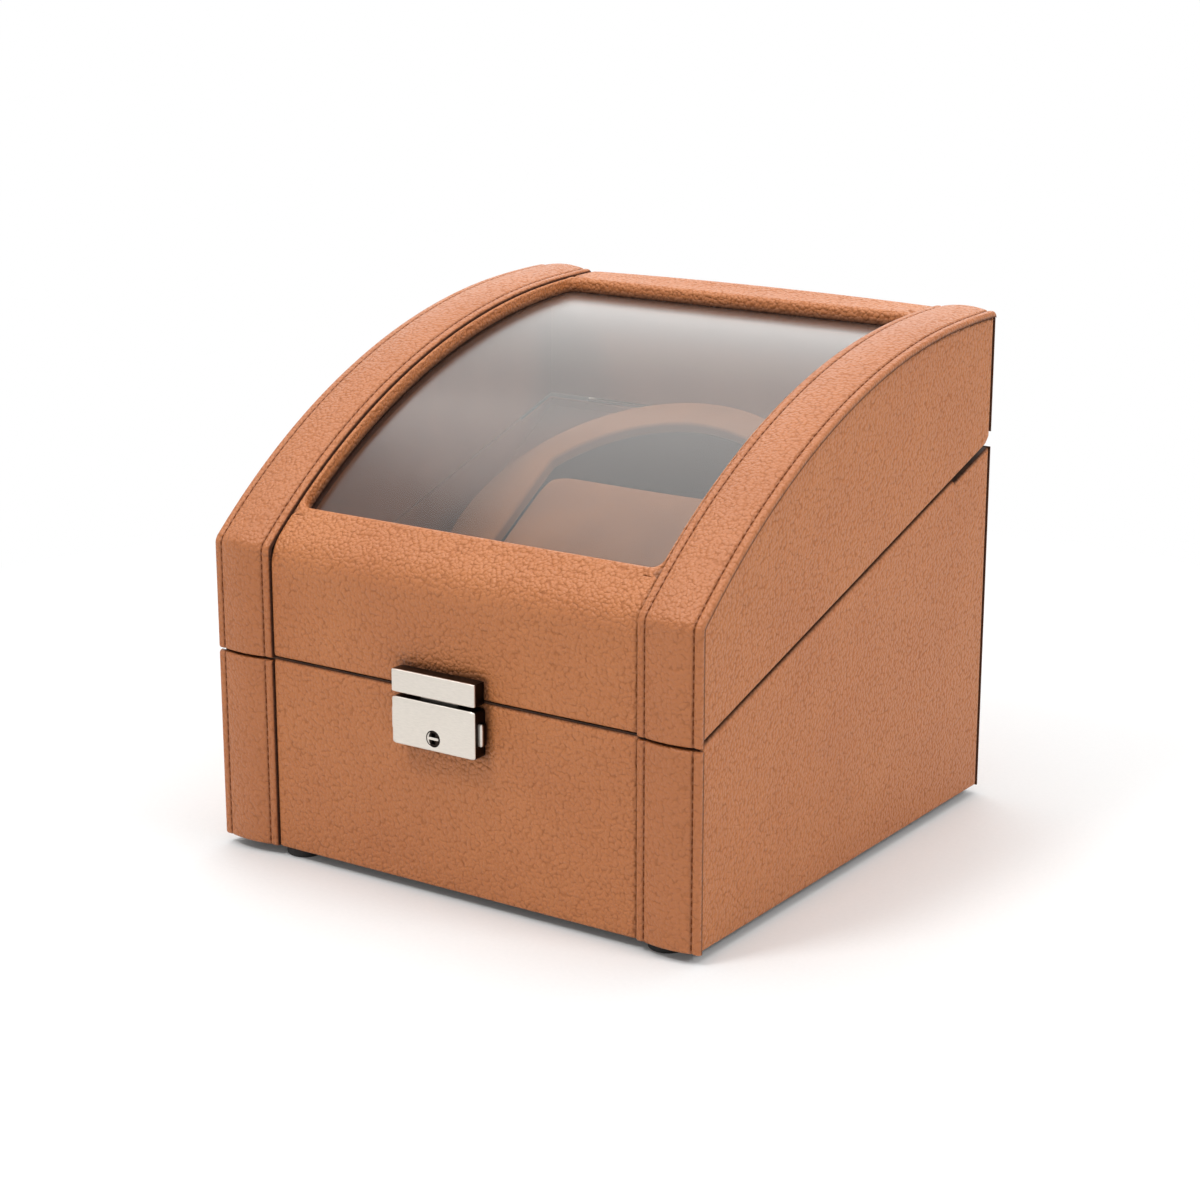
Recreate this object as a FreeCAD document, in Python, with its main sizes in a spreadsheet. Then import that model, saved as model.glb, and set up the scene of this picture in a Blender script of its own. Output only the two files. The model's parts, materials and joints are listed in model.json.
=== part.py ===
import FreeCAD, Part
import math
import os
import re

import Sketcher

# Watch winder: a leather-wrapped box with a curved window in its lid, and a motor-driven
# drum inside that carries a cushion. Millimetres. X to the right, Y to the back, Z up.
# The origin lies on the surface that the feet stand on, in the middle of the box.

Vector = FreeCAD.Vector
document = FreeCAD.newDocument("watch_winder")
sheet = document.addObject("Spreadsheet::Sheet", "Sizes")

# Driving dimensions: name, value, what it is
SIZES = [
    ("box_width", 180, "over the straps, left to right"),
    ("box_depth", 180, "from the front straps to the back leather"),
    ("foot_height", 3, "from the surface to the bottom edge of the box"),
    ("seam_front", 65, "height of the parting plane at the front face"),
    ("seam_back", 122, "height of the parting plane at the back face"),
    ("seam_gap", 0.8, "gap between base and lid along the parting plane"),
    ("hinge_relief", 1.4, "how much lower the base's rim is beside the hinges"),
    ("relief_length", 26, "length of that lower rim, from the back face"),
    ("rear_chamfer", 3, "chamfer on the lid's lower back edge"),
    ("crown_height", 166.1, "height of the lid's curve at its highest point"),
    ("crown_setback", 6.8, "how far ahead of the back face that point lies"),
    ("rear_arc_share", 2, "radius of the flat part of the lid's curve, in box depths"),
    ("front_arc_share", 1.36, "radius of the steeper part in front of it, in box depths"),
    ("join_angle", 3.9, "slope of the curve where the two radii join, degrees"),
    ("strap_width", 21.8, "width of the corner straps"),
    ("strap_raise", 1.8, "how far the straps stand above the leather between them"),
    ("strap_corner", 5, "outer radius of the strap where front turns into curve"),
    ("strap_round", 1, "rounding along the straps' outer edges"),
    ("roll_round", 2, "rounding of the leather at the window's lower and upper edge"),
    ("side_round", 1.2, "rounding of the leather at the window's sides"),
    ("leather", 1.2, "thickness of the leather"),
    ("board", 5, "thickness of the wooden boards"),
    ("curved_board", 3.6, "thickness of the lid's curved board"),
    ("lining", 1, "thickness of the suede-covered card inside"),
    ("edge_proud", 0.8, "how far the straps' edges stand out from the side leather"),
    ("bend_radius", 14, "soft bend of the lid's front leather"),
    ("roll_width", 1.6, "width of the leather turned down between straps and window"),
    ("window_front", 15.5, "from the front face to the window's lower leather edge"),
    ("window_back", 17, "from the back face to the window's upper leather edge"),
    ("window_thickness", 2, "thickness of the acrylic window"),
    ("window_lap", 6, "how far the window reaches under the boards on each side"),
    ("frame_thickness", 2, "thickness of the inner window frame"),
    ("frame_setback", 2, "how far the inner frame's opening is outside the leather"),
    ("sheet_gap", 0.1, "clearance between curved sheets that lie on each other"),
    ("foot_radius", 6, "radius of the rubber feet"),
    ("foot_round", 0.8, "rounding of the feet's lower edge"),
    ("foot_front_inset", 9, "from the front face to the middle of a front foot"),
    ("foot_rear_inset", 12, "from the back face to the middle of a rear foot"),
    ("foot_left_inset", 27, "from the left side to the middle of the left feet"),
    ("foot_right_inset", 15.5, "from the right side to the middle of the right feet"),
    ("rotor_tilt", 31.8, "tilt of the rotor's face from the horizontal, degrees"),
    ("rotor_back", 7.1, "how far the centre of the ring's face is behind the middle"),
    ("rotor_rise", 94.5, "height of the centre of the ring's face"),
    ("ring_radius", 65, "outer radius of the suede ring"),
    ("ring_thickness", 4, "thickness of the suede ring"),
    ("ring_round", 1.2, "rounding of the suede ring's outer edge"),
    ("hole_radius", 54, "radius of the round ends of the hole in the ring"),
    ("hole_half_width", 46, "from the centre to the straight sides of the hole"),
    ("drum_radius", 60, "outer radius of the drum"),
    ("drum_wall", 2, "wall of the drum"),
    ("drum_depth", 38, "from the ring's face to the outside of the drum's bottom"),
    ("drum_bottom", 2.5, "thickness of the drum's bottom"),
    ("cushion_gap", 0.5, "clearance round the cushion"),
    ("cushion_height", 52, "size of the cushion up the slope"),
    ("cushion_crown", 2.5, "rise of the cushion's face above its edges"),
    ("cushion_stand", 3, "how far the cushion's crown stands out of the ring"),
    ("cushion_round", 5, "rounding of the cushion's shoulders"),
    ("cushion_seat", 0.3, "gap between the cushion and the drum's bottom"),
    ("cushion_draw", 2, "how far the cushion's ends draw in"),
    ("deck_depth", 22, "from the ring's face to the deck's top"),
    ("deck_thickness", 3, "thickness of the deck"),
    ("deck_clearance", 2.5, "gap between drum and deck"),
    ("tray_height", 41.5, "height of the level front part of the deck"),
    ("shaft_radius", 3, "radius of the rotor shaft"),
    ("running_clearance", 0.05, "radial clearance of shafts and pins that turn"),
    ("flange_radius", 12, "radius of the shaft's flange under the drum"),
    ("flange_thickness", 2, "thickness of that flange"),
    ("axial_gap", 0.2, "axial clearance of the rotor in its bushes"),
    ("clip_thickness", 1, "thickness of the shaft's retaining clip"),
    ("clip_width", 2.5, "how far the clip stands out from the shaft"),
    ("bush_radius", 5, "outer radius of the bushes"),
    ("bush_flange", 7, "radius of the bushes' flanges"),
    ("bush_rim", 1, "thickness of the bushes' flanges"),
    ("plate_thickness", 3, "thickness of the mechanism frame's plates and cheeks"),
    ("plate_spacing", 9, "clear height between the two plates"),
    ("frame_half_width", 45, "from the middle to the outside of the frame's cheeks"),
    ("frame_half_height", 24, "from the shaft to the plates' edges, up the slope"),
    ("frame_flare", 5, "how far the cheeks reach behind the lower plate"),
    ("tab_width", 10, "width of the frame's screw tabs"),
    ("gear_module", 1, "tooth size of the gears"),
    ("gear_teeth", 46, "teeth of the large gear"),
    ("pinion_teeth", 14, "teeth of the motor's pinion"),
    ("gear_thickness", 5, "thickness of both gears"),
    ("gear_lift", 2, "gap between the upper plate and the gears"),
    ("gear_addendum", 0.8, "height of the teeth above the pitch circle"),
    ("gear_dedendum", 1, "depth of the teeth below the pitch circle"),
    ("pressure_angle", 20, "pressure angle of the teeth, degrees"),
    ("backlash", 0.15, "play between the teeth at the pitch circle"),
    ("motor_shaft_radius", 1.5, "radius of the motor's output shaft"),
    ("motor_shaft_grip", 4, "how far the output shaft reaches into the gearbox"),
    ("frame_hole_gap", 0.7, "clearance round the output shaft in the frame"),
    ("motor_width", 12, "width of the gear motor"),
    ("motor_height", 10, "height of the gear motor"),
    ("gearbox_length", 9, "length of the motor's gearbox"),
    ("can_length", 15, "length of the motor's can"),
    ("standoff_height", 4, "from the floor to the control board"),
    ("circuit_width", 60, "width of the control board"),
    ("circuit_depth", 34, "depth of the control board"),
    ("circuit_thickness", 1.6, "thickness of the control board"),
    ("circuit_shift", 20, "how far left of the middle the control board lies"),
    ("circuit_setback", 7, "from the front board to the control board"),
    ("standoff_radius", 2.5, "radius of the standoffs"),
    ("standoff_inset", 4, "from the control board's edges to its standoffs"),
    ("plug_height", 6, "height of the plug row on the control board"),
    ("plug_depth", 6, "depth of that row"),
    ("chip_width", 10, "size of the controller chip"),
    ("chip_height", 1.4, "height of the controller chip"),
    ("socket_shift", 42, "from the middle to the power inlet"),
    ("socket_height", 24, "height of the power inlet above the surface"),
    ("socket_radius", 4, "outer radius of the inlet's threaded barrel"),
    ("socket_bore", 2.8, "radius of the inlet's bore"),
    ("socket_flange", 5.5, "radius of the inlet's flange and its nut"),
    ("socket_rim", 1.5, "thickness of the inlet's flange and of its end wall"),
    ("socket_length", 5, "how far the inlet reaches in front of the back board"),
    ("socket_pin", 1, "radius of the inlet's centre pin"),
    ("nut_thickness", 2.5, "thickness of the inlet's nut"),
    ("switch_width", 19, "width of the switch's cut-out"),
    ("switch_height", 13, "height of the switch's cut-out"),
    ("switch_depth", 14, "depth of the switch's housing behind the leather"),
    ("switch_rim", 1.5, "rim of the switch round its cut-out, and its walls"),
    ("rocker_sink", 2.5, "from the back face to the rocker's pivot"),
    ("rocker_well", 4.5, "depth of the switch's well behind the pivot"),
    ("rocker_gap", 1, "clearance at the rocker's ends"),
    ("rocker_dip", 0.6, "how far the rocker's ends stand out from its middle"),
    ("rocker_heel", 2.5, "size of the rocker's heel behind the pivot"),
    ("pivot_radius", 1, "radius of the rocker's pivot"),
    ("pivot_wall", 0.6, "wall left outside the rocker's pivot"),
    ("blade_length", 6, "length of the switch's terminal blades"),
    ("blade_width", 4.8, "width of those blades"),
    ("blade_thickness", 0.8, "thickness of those blades"),
    ("lock_width", 31, "width of the lock and the hasp"),
    ("lock_shift", 1.3, "how far left of the middle the lock sits"),
    ("lock_depth", 5.3, "how far the lock stands out from the leather"),
    ("lock_top", 63.9, "height of the lock case's top"),
    ("lock_height", 15, "height of the lock case"),
    ("lock_wall", 0.8, "wall of the lock case"),
    ("lock_edge", 0.5, "rounding of the lock's and hasp's front edges"),
    ("hasp_bottom", 65.2, "height of the hasp plate's lower edge"),
    ("hasp_height", 7.2, "height of the hasp plate"),
    ("tongue_width", 14, "width of the hasp's tongue"),
    ("tongue_length", 7.5, "how far the tongue reaches below the hasp plate"),
    ("tongue_thickness", 1.2, "thickness of the tongue"),
    ("tongue_gap", 1, "gap between the tongue and the leather"),
    ("key_height", 52.9, "height of the key cylinder's axis"),
    ("key_radius", 2.3, "radius of the key cylinder"),
    ("key_collar", 3, "radius of the key cylinder's collar inside the case"),
    ("key_inset", 0.2, "how far the key cylinder's face lies behind the case's"),
    ("key_slot", 1.6, "width of the key cylinder's two slots"),
    ("key_slot_height", 1.5, "height of each of those slots"),
    ("key_slot_shift", 1.05, "from the cylinder's axis to the middle of each slot"),
    ("key_depth", 1.5, "depth of the slots from the case's face"),
    ("button_height", 7, "height of the push buttons"),
    ("button_depth", 2.8, "thickness of the push buttons from front to back"),
    ("button_rise", 56.4, "height of the push buttons' middle"),
    ("button_stand", 1.5, "how far the push buttons stand out of the case"),
    ("button_collar", 1, "thickness of the collar that keeps a button in"),
    ("button_lip", 0.35, "how far that collar stands out round the button"),
    ("spring_leaf", 0.3, "thickness of the leaf springs"),
    ("spring_bow", 1.8, "how far a spring's foot stands in from its tip"),
    ("slip", 0.15, "clearance of sliding pieces"),
    ("hinge_shift", 52, "from the middle to the middle of each hinge"),
    ("hinge_length", 30, "length of each hinge"),
    ("knuckle_radius", 2.2, "outer radius of the hinges' knuckles"),
    ("pin_radius", 1.1, "radius of the hinge pins"),
    ("leaf_thickness", 0.8, "thickness of the hinge leaves"),
    ("leaf_reach", 8.6, "from the hinge axis to the leaves' free edges"),
    ("leaf_margin", 2, "from the screws to the leaves' free edges"),
    ("base_screw_spread", 11, "from the middle of a hinge to its base screws"),
    ("lid_screw_spread", 6, "from the middle of a hinge to its lid screws"),
    ("hinge_play", 0.2, "side play between the knuckles"),
    ("hinge_setback", 2.4, "from the back face to the hinge axis"),
    ("screw_radius", 0.8, "shank radius of the hinge screws"),
    ("screw_length", 4, "how deep the hinge screws go into the boards"),
    ("screw_head", 0.3, "thickness of the hinge screws' heads"),
    ("wood_screw_radius", 1.5, "shank radius of the wood screws"),
    ("wood_screw_head", 1.5, "height of the wood screws' heads"),
    ("screw_tip", 1, "how far the wood screws' tips stay above the floor's underside"),
    ("rivet_radius", 1, "shank radius of the lock's rivets"),
    ("rivet_head", 0.8, "thickness of the rivets' heads"),
    ("rivet_height", 55, "height of the lock case's rivets"),
    ("post_wall", 0.6, "wall of the posts that the rivets go into"),
]

for row, (name, number, note) in enumerate(SIZES, start=1):
    sheet.set(f"A{row}", name)
    sheet.set(f"B{row}", str(number))
    sheet.set(f"C{row}", note)
    sheet.setAlias(f"B{row}", name)
document.recompute()

WORDS = re.compile(r"\b(" + "|".join(name for name, number, note in SIZES) + r")\b")


def bound(text):
    """The text of a formula with each size's word pointing at the sheet."""
    return WORDS.sub(r"Sizes.\1", str(text))


def value(text):
    """The number that a formula in the sheet's words gives."""
    result = sheet.evalExpression(str(text))
    return float(getattr(result, "Value", result))


# Helpers for bodies, sketches and features

pieces = []


def new_body(name, frame=None):
    """A body named after its piece, in the part's frame or in one that leans about X.

    frame gives formulas for the leaning frame's place x, y, z and its angle.
    """
    body = document.addObject("PartDesign::Body", name)
    body.Label = name
    body.AllowCompound = True
    if frame:
        x, y, z, angle = frame
        body.Placement = FreeCAD.Placement(Vector(), FreeCAD.Rotation(Vector(1, 0, 0), 1))
        body.setExpression("Placement.Base.x", bound(x))
        body.setExpression("Placement.Base.y", bound(y))
        body.setExpression("Placement.Base.z", bound(z))
        body.setExpression("Placement.Rotation.Angle", bound(angle))
    pieces.append(body)
    return body


def new_sketch(body, role, offset="0"):
    """A sketch on one of the body's origin planes, moved along its normal."""
    sketch = body.newObject("Sketcher::SketchObject", body.Name + "_sketch")
    origin_plane = next(f for f in body.Origin.OriginFeatures if f.Role == role)
    sketch.AttachmentSupport = [(origin_plane, "")]
    sketch.MapMode = "FlatFace"
    sketch.setExpression("AttachmentOffset.Base.z", bound(offset))
    return sketch


def pin_point(sketch, edge, end, x, y):
    """Hold one end of an edge at formulas for its two coordinates."""
    for kind, formula in (("DistanceX", x), ("DistanceY", y)):
        index = sketch.addConstraint(
            Sketcher.Constraint(kind, -1, 1, edge, end, value(formula)))
        sketch.setExpression(f"Constraints[{index}]", bound(formula))


def add_outline(sketch, points):
    """A closed outline. A point is (x, y), or (x, y, radius, side) where an arc leaves it.

    side says on which hand of the way forward the arc's centre lies.
    """
    first = sketch.GeometryCount
    count = len(points)
    places = [Vector(value(p[0]), value(p[1]), 0) for p in points]
    starts = []
    for number, point in enumerate(points):
        here, there = places[number], places[(number + 1) % count]
        if len(point) == 2:
            sketch.addGeometry(Part.LineSegment(here, there))
            starts.append((1, 2))
            continue
        radius = value(point[2])
        chord = there - here
        sign = 1 if point[3] == "left" else -1
        normal = Vector(-chord.y, chord.x, 0).normalize() * sign
        height = math.sqrt(max(radius ** 2 - (chord.Length / 2) ** 2, 0))
        centre = (here + there) * 0.5 + normal * height
        angles = [math.atan2(p.y - centre.y, p.x - centre.x) for p in (here, there)]
        if sign < 0:
            angles.reverse()
        circle = Part.Circle(centre, Vector(0, 0, 1), radius)
        sketch.addGeometry(Part.ArcOfCircle(circle, angles[0], angles[1]))
        starts.append((1, 2) if sign > 0 else (2, 1))
    for number in range(count):
        after = (number + 1) % count
        sketch.addConstraint(Sketcher.Constraint(
            "Coincident", first + number, starts[number][1], first + after, starts[after][0]))
    for number, point in enumerate(points):
        pin_point(sketch, first + number, starts[number][0], point[0], point[1])
        if len(point) > 2:
            index = sketch.addConstraint(
                Sketcher.Constraint("Radius", first + number, value(point[2])))
            sketch.setExpression(f"Constraints[{index}]", bound(point[2]))


def rectangle(x0, y0, x1, y1):
    """Corner points of a rectangle."""
    return [(x0, y0), (x1, y0), (x1, y1), (x0, y1)]


def add_circle(sketch, x, y, radius):
    """A full circle held at formulas for its centre and radius."""
    edge = sketch.addGeometry(
        Part.Circle(Vector(value(x), value(y), 0), Vector(0, 0, 1), value(radius)))
    pin_point(sketch, edge, 3, x, y)
    index = sketch.addConstraint(Sketcher.Constraint("Radius", edge, value(radius)))
    sketch.setExpression(f"Constraints[{index}]", bound(radius))


def pad(body, sketch, length):
    """Add a sketch's area, swept along its normal."""
    feature = body.newObject("PartDesign::Pad", body.Name + "_pad")
    feature.Profile = sketch
    feature.setExpression("Length", bound(length))
    document.recompute()
    return feature


def pocket(body, sketch, length):
    """Take a sketch's area away, swept along its normal, and check that it cut."""
    before = body.Shape.Volume
    feature = body.newObject("PartDesign::Pocket", body.Name + "_pocket")
    feature.Profile = sketch
    feature.Reversed = True
    feature.setExpression("Length", bound(length))
    document.recompute()
    if body.Shape.Volume > before - 1e-4:
        raise RuntimeError(f"{body.Label}: a pocket cuts nothing")
    return feature


def pad_x(body, x0, x1, points):
    """A piece whose side view is the outline, from x0 to x1."""
    sketch = new_sketch(body, "YZ_Plane", x0)
    add_outline(sketch, points)
    return pad(body, sketch, f"({x1}) - ({x0})")


def cut_x(body, x0, x1, points):
    """Cut the outline seen from the side out of the body, from x0 to x1."""
    sketch = new_sketch(body, "YZ_Plane", x0)
    add_outline(sketch, points)
    return pocket(body, sketch, f"({x1}) - ({x0})")


def pad_z(body, z0, z1, points):
    """A piece whose plan is the outline, from z0 to z1."""
    sketch = new_sketch(body, "XY_Plane", z0)
    add_outline(sketch, points)
    return pad(body, sketch, f"({z1}) - ({z0})")


def disc_z(body, z0, z1, radius, x="0", y="0"):
    """A round disc from z0 to z1."""
    sketch = new_sketch(body, "XY_Plane", z0)
    add_circle(sketch, x, y, radius)
    return pad(body, sketch, f"({z1}) - ({z0})")


def bore_z(body, z0, z1, radius, x="0", y="0"):
    """A round hole from z0 to z1."""
    sketch = new_sketch(body, "XY_Plane", z0)
    add_circle(sketch, x, y, radius)
    return pocket(body, sketch, f"({z1}) - ({z0})")


def disc_y(body, y0, y1, radius, x, z):
    """A round disc along Y, from y0 to y1."""
    sketch = new_sketch(body, "XZ_Plane", f"-({y1})")
    add_circle(sketch, x, z, radius)
    return pad(body, sketch, f"({y1}) - ({y0})")


def bore_y(body, y0, y1, radius, x, z):
    """A round hole along Y, from y0 to y1."""
    sketch = new_sketch(body, "XZ_Plane", f"-({y1})")
    add_circle(sketch, x, z, radius)
    return pocket(body, sketch, f"({y1}) - ({y0})")


def block_y(body, y0, y1, points):
    """A piece whose front view is the outline, from y0 to y1."""
    sketch = new_sketch(body, "XZ_Plane", f"-({y1})")
    add_outline(sketch, points)
    return pad(body, sketch, f"({y1}) - ({y0})")


def cut_y(body, y0, y1, points):
    """Cut the outline seen from the front out of the body, from y0 to y1."""
    sketch = new_sketch(body, "XZ_Plane", f"-({y1})")
    add_outline(sketch, points)
    return pocket(body, sketch, f"({y1}) - ({y0})")


def round_edges(body, wanted, radius):
    """Round the edges for which wanted(edge) is true."""
    tip = body.Tip
    names = [f"Edge{i + 1}" for i, edge in enumerate(tip.Shape.Edges) if wanted(edge)]
    if not names:
        raise RuntimeError(f"{body.Label}: no edge to round")
    feature = body.newObject("PartDesign::Fillet", body.Name + "_fillet")
    feature.Base = (tip, names)
    feature.setExpression("Radius", bound(radius))
    document.recompute()


def along_x_at(y, z):
    """A test for edges that run along X through a point of the side view."""
    place = Vector(0, value(y), value(z))

    def wanted(edge):
        ends = [v.Point for v in edge.Vertexes]
        if len(ends) < 2 or abs(ends[0].x - ends[-1].x) < 0.5:
            return False
        return all(math.hypot(p.y - place.y, p.z - place.z) < 0.01 for p in ends)
    return wanted


def upright_at(x_places, y):
    """A test for edges that stand upright at a place of the plan."""
    spots = [(value(x), value(y)) for x in x_places]

    def wanted(edge):
        ends = [v.Point for v in edge.Vertexes]
        if len(ends) < 2 or abs(ends[0].z - ends[-1].z) < 0.5:
            return False
        return any(all(math.hypot(p.x - x, p.y - y) < 0.01 for p in ends) for x, y in spots)
    return wanted


def along_curve(x_places, inset):
    """A test for edges that follow the lid's curve, inset, at given X."""
    spots = [value(x) for x in x_places]
    join = value(f"{REAR_Y} - ({REAR_RADIUS} - {inset}) * sin(join_angle)")

    def wanted(edge):
        ends = [v.Point for v in edge.Vertexes]
        if len(ends) < 2 or abs(ends[0].y - ends[-1].y) < 5:
            return False
        for p in ends:
            curve = front_curve if p.y < join else rear_curve
            if abs(p.z - value(curve(p.y, inset))) > 0.01:
                return False
        return any(all(abs(p.x - x) < 0.01 for p in ends) for x in spots)
    return wanted


def both_sides(name, make):
    """Two mirrored pieces: make(body, x) gets a function that mirrors a span of X."""
    for side, sign in (("left", -1), ("right", 1)):
        def span(inner, outer, sign=sign):
            if sign > 0:
                return f"({inner})", f"({outer})"
            return f"(-({outer}))", f"(-({inner}))"
        make(new_body(f"{name}_{side}"), span)


# The planes that the layers of the walls share

FRONT_FACE = "(-box_depth / 2)"
COVER_FRONT = f"({FRONT_FACE} + strap_raise)"
BOARD_FRONT = f"({COVER_FRONT} + leather)"
INNER_FRONT = f"({BOARD_FRONT} + board)"
LINED_FRONT = f"({INNER_FRONT} + lining)"
BACK_FACE = "(box_depth / 2)"
BOARD_BACK = f"({BACK_FACE} - leather)"
INNER_BACK = f"({BOARD_BACK} - board)"
LINED_BACK = f"({INNER_BACK} - lining)"
STRAP_EDGE = "(box_width / 2)"
STRAP_INNER = f"({STRAP_EDGE} - strap_width)"
SIDE_FACE = f"({STRAP_EDGE} - edge_proud)"
SIDE_BOARD = f"({SIDE_FACE} - leather)"
SIDE_INNER = f"({SIDE_BOARD} - board)"
SIDE_LINED = f"({SIDE_INNER} - lining)"
RELIEF_START = f"({BACK_FACE} - relief_length)"
FLOOR_BOTTOM = "(foot_height)"
FLOOR_TOP = f"({FLOOR_BOTTOM} + board)"

# Radii of the lid's curve, and depths below it
REAR_RADIUS = "(box_depth * rear_arc_share)"
FRONT_RADIUS = "(box_depth * front_arc_share)"
STRAP_INSET = "(strap_raise + leather)"
BOARD_INSET = f"({STRAP_INSET} + curved_board)"
GLASS_INSET = f"({BOARD_INSET} + sheet_gap)"
GLASS_INNER = f"({GLASS_INSET} + window_thickness)"
FRAME_INSET = f"({GLASS_INNER} + sheet_gap)"
FRAME_INNER = f"({FRAME_INSET} + frame_thickness)"
LINING_TOP = f"({FRAME_INNER} + sheet_gap)"

WINDOW_FRONT = f"({FRONT_FACE} + window_front)"
WINDOW_BACK = f"({BACK_FACE} - window_back)"
WINDOW_SIDE = f"({STRAP_INNER} - roll_width)"


def seam(y):
    """Height of the parting plane at y."""
    return f"(seam_front + (({y}) + box_depth / 2) * (seam_back - seam_front) / box_depth)"


def rim(y):
    """Height of the base's rim at y, half a gap below the parting plane."""
    return f"({seam(y)} - seam_gap / 2)"


def low_rim(y):
    """Height of the base's rim beside the hinges."""
    return f"({rim(y)} - hinge_relief)"


def lid_edge(y):
    """Height of the lid's lower edge at y."""
    return f"({seam(y)} + seam_gap / 2)"


# Centres of the two arcs of the lid's curve
REAR_Y = "(box_depth / 2 - crown_setback)"
REAR_Z = f"(crown_height - {REAR_RADIUS})"
FRONT_Y = f"({REAR_Y} - ({REAR_RADIUS} - {FRONT_RADIUS}) * sin(join_angle))"
FRONT_Z = f"({REAR_Z} + ({REAR_RADIUS} - {FRONT_RADIUS}) * cos(join_angle))"


def front_curve(y, inset):
    """Height of the steep front part of the curve, inset along its radius."""
    return f"({FRONT_Z} + sqrt(({FRONT_RADIUS} - {inset})^2 - (({y}) - {FRONT_Y})^2))"


def rear_curve(y, inset):
    """Height of the flat rear part of the curve, inset along its radius."""
    return f"({REAR_Z} + sqrt(({REAR_RADIUS} - {inset})^2 - (({y}) - {REAR_Y})^2))"


def curve_back(y0, y1, inset):
    """Points along the curve from front to back, with the arcs between them."""
    join = (f"({REAR_Y} - ({REAR_RADIUS} - {inset}) * sin(join_angle))",
            f"({REAR_Z} + ({REAR_RADIUS} - {inset}) * cos(join_angle))")
    return [(y0, front_curve(y0, inset), f"({FRONT_RADIUS} - {inset})", "right"),
            (join[0], join[1], f"({REAR_RADIUS} - {inset})", "right"),
            (y1, rear_curve(y1, inset))]


def curve_forward(y0, y1, inset):
    """The same points from back to front."""
    front, join, back = curve_back(y0, y1, inset)
    return [(back[0], back[1], join[2], "left"),
            (join[0], join[1], front[2], "left"),
            (front[0], front[1])]


def lid_profile(y0, y1, inset):
    """Side view of the whole lid from its lower edge to the inset curve."""
    return [(y0, lid_edge(y0))] + curve_back(y0, y1, inset) + [(y1, lid_edge(y1))]


def chamfer_lid(body, x0, x1):
    """Cut the lid's lower back edge away at 45 degrees to clear the hinges."""
    corner = lid_edge(BACK_FACE)
    cut_x(body, x0, x1, [
        (f"({BACK_FACE} - rear_chamfer - 2)", f"({corner} - 2)"),
        (f"({BACK_FACE} + 1)", f"({corner} - 2)"),
        (f"({BACK_FACE} + 1)", f"({corner} + rear_chamfer + 1)"),
    ])


# Base: boards, floor, leather, straps, feet

def base_profile(y0, y1):
    """Side view of a base wall from its bottom edge to its rim, lower by the hinges."""
    return [
        (y0, "foot_height"), (y1, "foot_height"), (y1, low_rim(y1)),
        (RELIEF_START, low_rim(RELIEF_START)), (RELIEF_START, rim(RELIEF_START)),
        (y0, rim(y0)),
    ]


def front_wall(y0, y1):
    """Side view of a wall at the front of the base."""
    return [(y0, "foot_height"), (y1, "foot_height"), (y1, rim(y1)), (y0, rim(y0))]


def back_wall(y0, y1):
    """Side view of a wall at the back of the base."""
    return [(y0, "foot_height"), (y1, "foot_height"), (y1, low_rim(y1)), (y0, low_rim(y0))]


SWITCH_X = "(-socket_shift)"
SOCKET_X = "(socket_shift)"


def cut_back_openings(body, y0, y1):
    """Openings for the power inlet and the switch in one layer of the back wall."""
    bore_y(body, y0, y1, "socket_radius", SOCKET_X, "socket_height")
    cut_y(body, y0, y1, rectangle(
        f"({SWITCH_X} - switch_width / 2)", "(socket_height - switch_height / 2)",
        f"({SWITCH_X} + switch_width / 2)", "(socket_height + switch_height / 2)"))


def make_base_box():
    body = new_body("base_front_board")
    pad_x(body, f"-{SIDE_INNER}", SIDE_INNER, front_wall(BOARD_FRONT, INNER_FRONT))

    body = new_body("base_back_board")
    pad_x(body, f"-{SIDE_INNER}", SIDE_INNER, back_wall(INNER_BACK, BOARD_BACK))
    cut_back_openings(body, INNER_BACK, BOARD_BACK)

    def side_board(body, span):
        x0, x1 = span(SIDE_INNER, SIDE_BOARD)
        pad_x(body, x0, x1, base_profile(BOARD_FRONT, BOARD_BACK))
    both_sides("base_side_board", side_board)

    body = new_body("base_floor")
    pad_z(body, FLOOR_BOTTOM, FLOOR_TOP,
          rectangle(f"-{SIDE_INNER}", INNER_FRONT, SIDE_INNER, INNER_BACK))


def make_base_leather():
    body = new_body("base_front_cover")
    pad_x(body, f"-{STRAP_INNER}", STRAP_INNER, front_wall(COVER_FRONT, BOARD_FRONT))

    body = new_body("base_back_cover")
    pad_x(body, f"-{SIDE_FACE}", SIDE_FACE, back_wall(BOARD_BACK, BACK_FACE))
    cut_back_openings(body, BOARD_BACK, BACK_FACE)

    def side_cover(body, span):
        x0, x1 = span(SIDE_BOARD, SIDE_FACE)
        pad_x(body, x0, x1, base_profile(BOARD_FRONT, BOARD_BACK))
    both_sides("base_side_cover", side_cover)

    def strap(body, span):
        x0, x1 = span(STRAP_INNER, STRAP_EDGE)
        pad_x(body, x0, x1, front_wall(FRONT_FACE, BOARD_FRONT))
        round_edges(body, upright_at((x0, x1), FRONT_FACE), "strap_round")
    both_sides("base_strap", strap)


def make_feet():
    rows = ("(-box_depth / 2 + foot_front_inset)", "(box_depth / 2 - foot_rear_inset)")
    columns = ("(-box_width / 2 + foot_left_inset)", "(box_width / 2 - foot_right_inset)")
    body = new_body("rubber_feet")
    for y in rows:
        for x in columns:
            disc_z(body, "0", FLOOR_BOTTOM, "foot_radius", x, y)
    round_edges(body, lambda edge: abs(edge.CenterOfMass.z) < 0.01, "foot_round")


# The rotor's frame: Z is its axis, out of the ring's face, and Y runs up the slope
ROTOR_FRAME = ("0", "rotor_back", "rotor_rise", "rotor_tilt")


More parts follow.
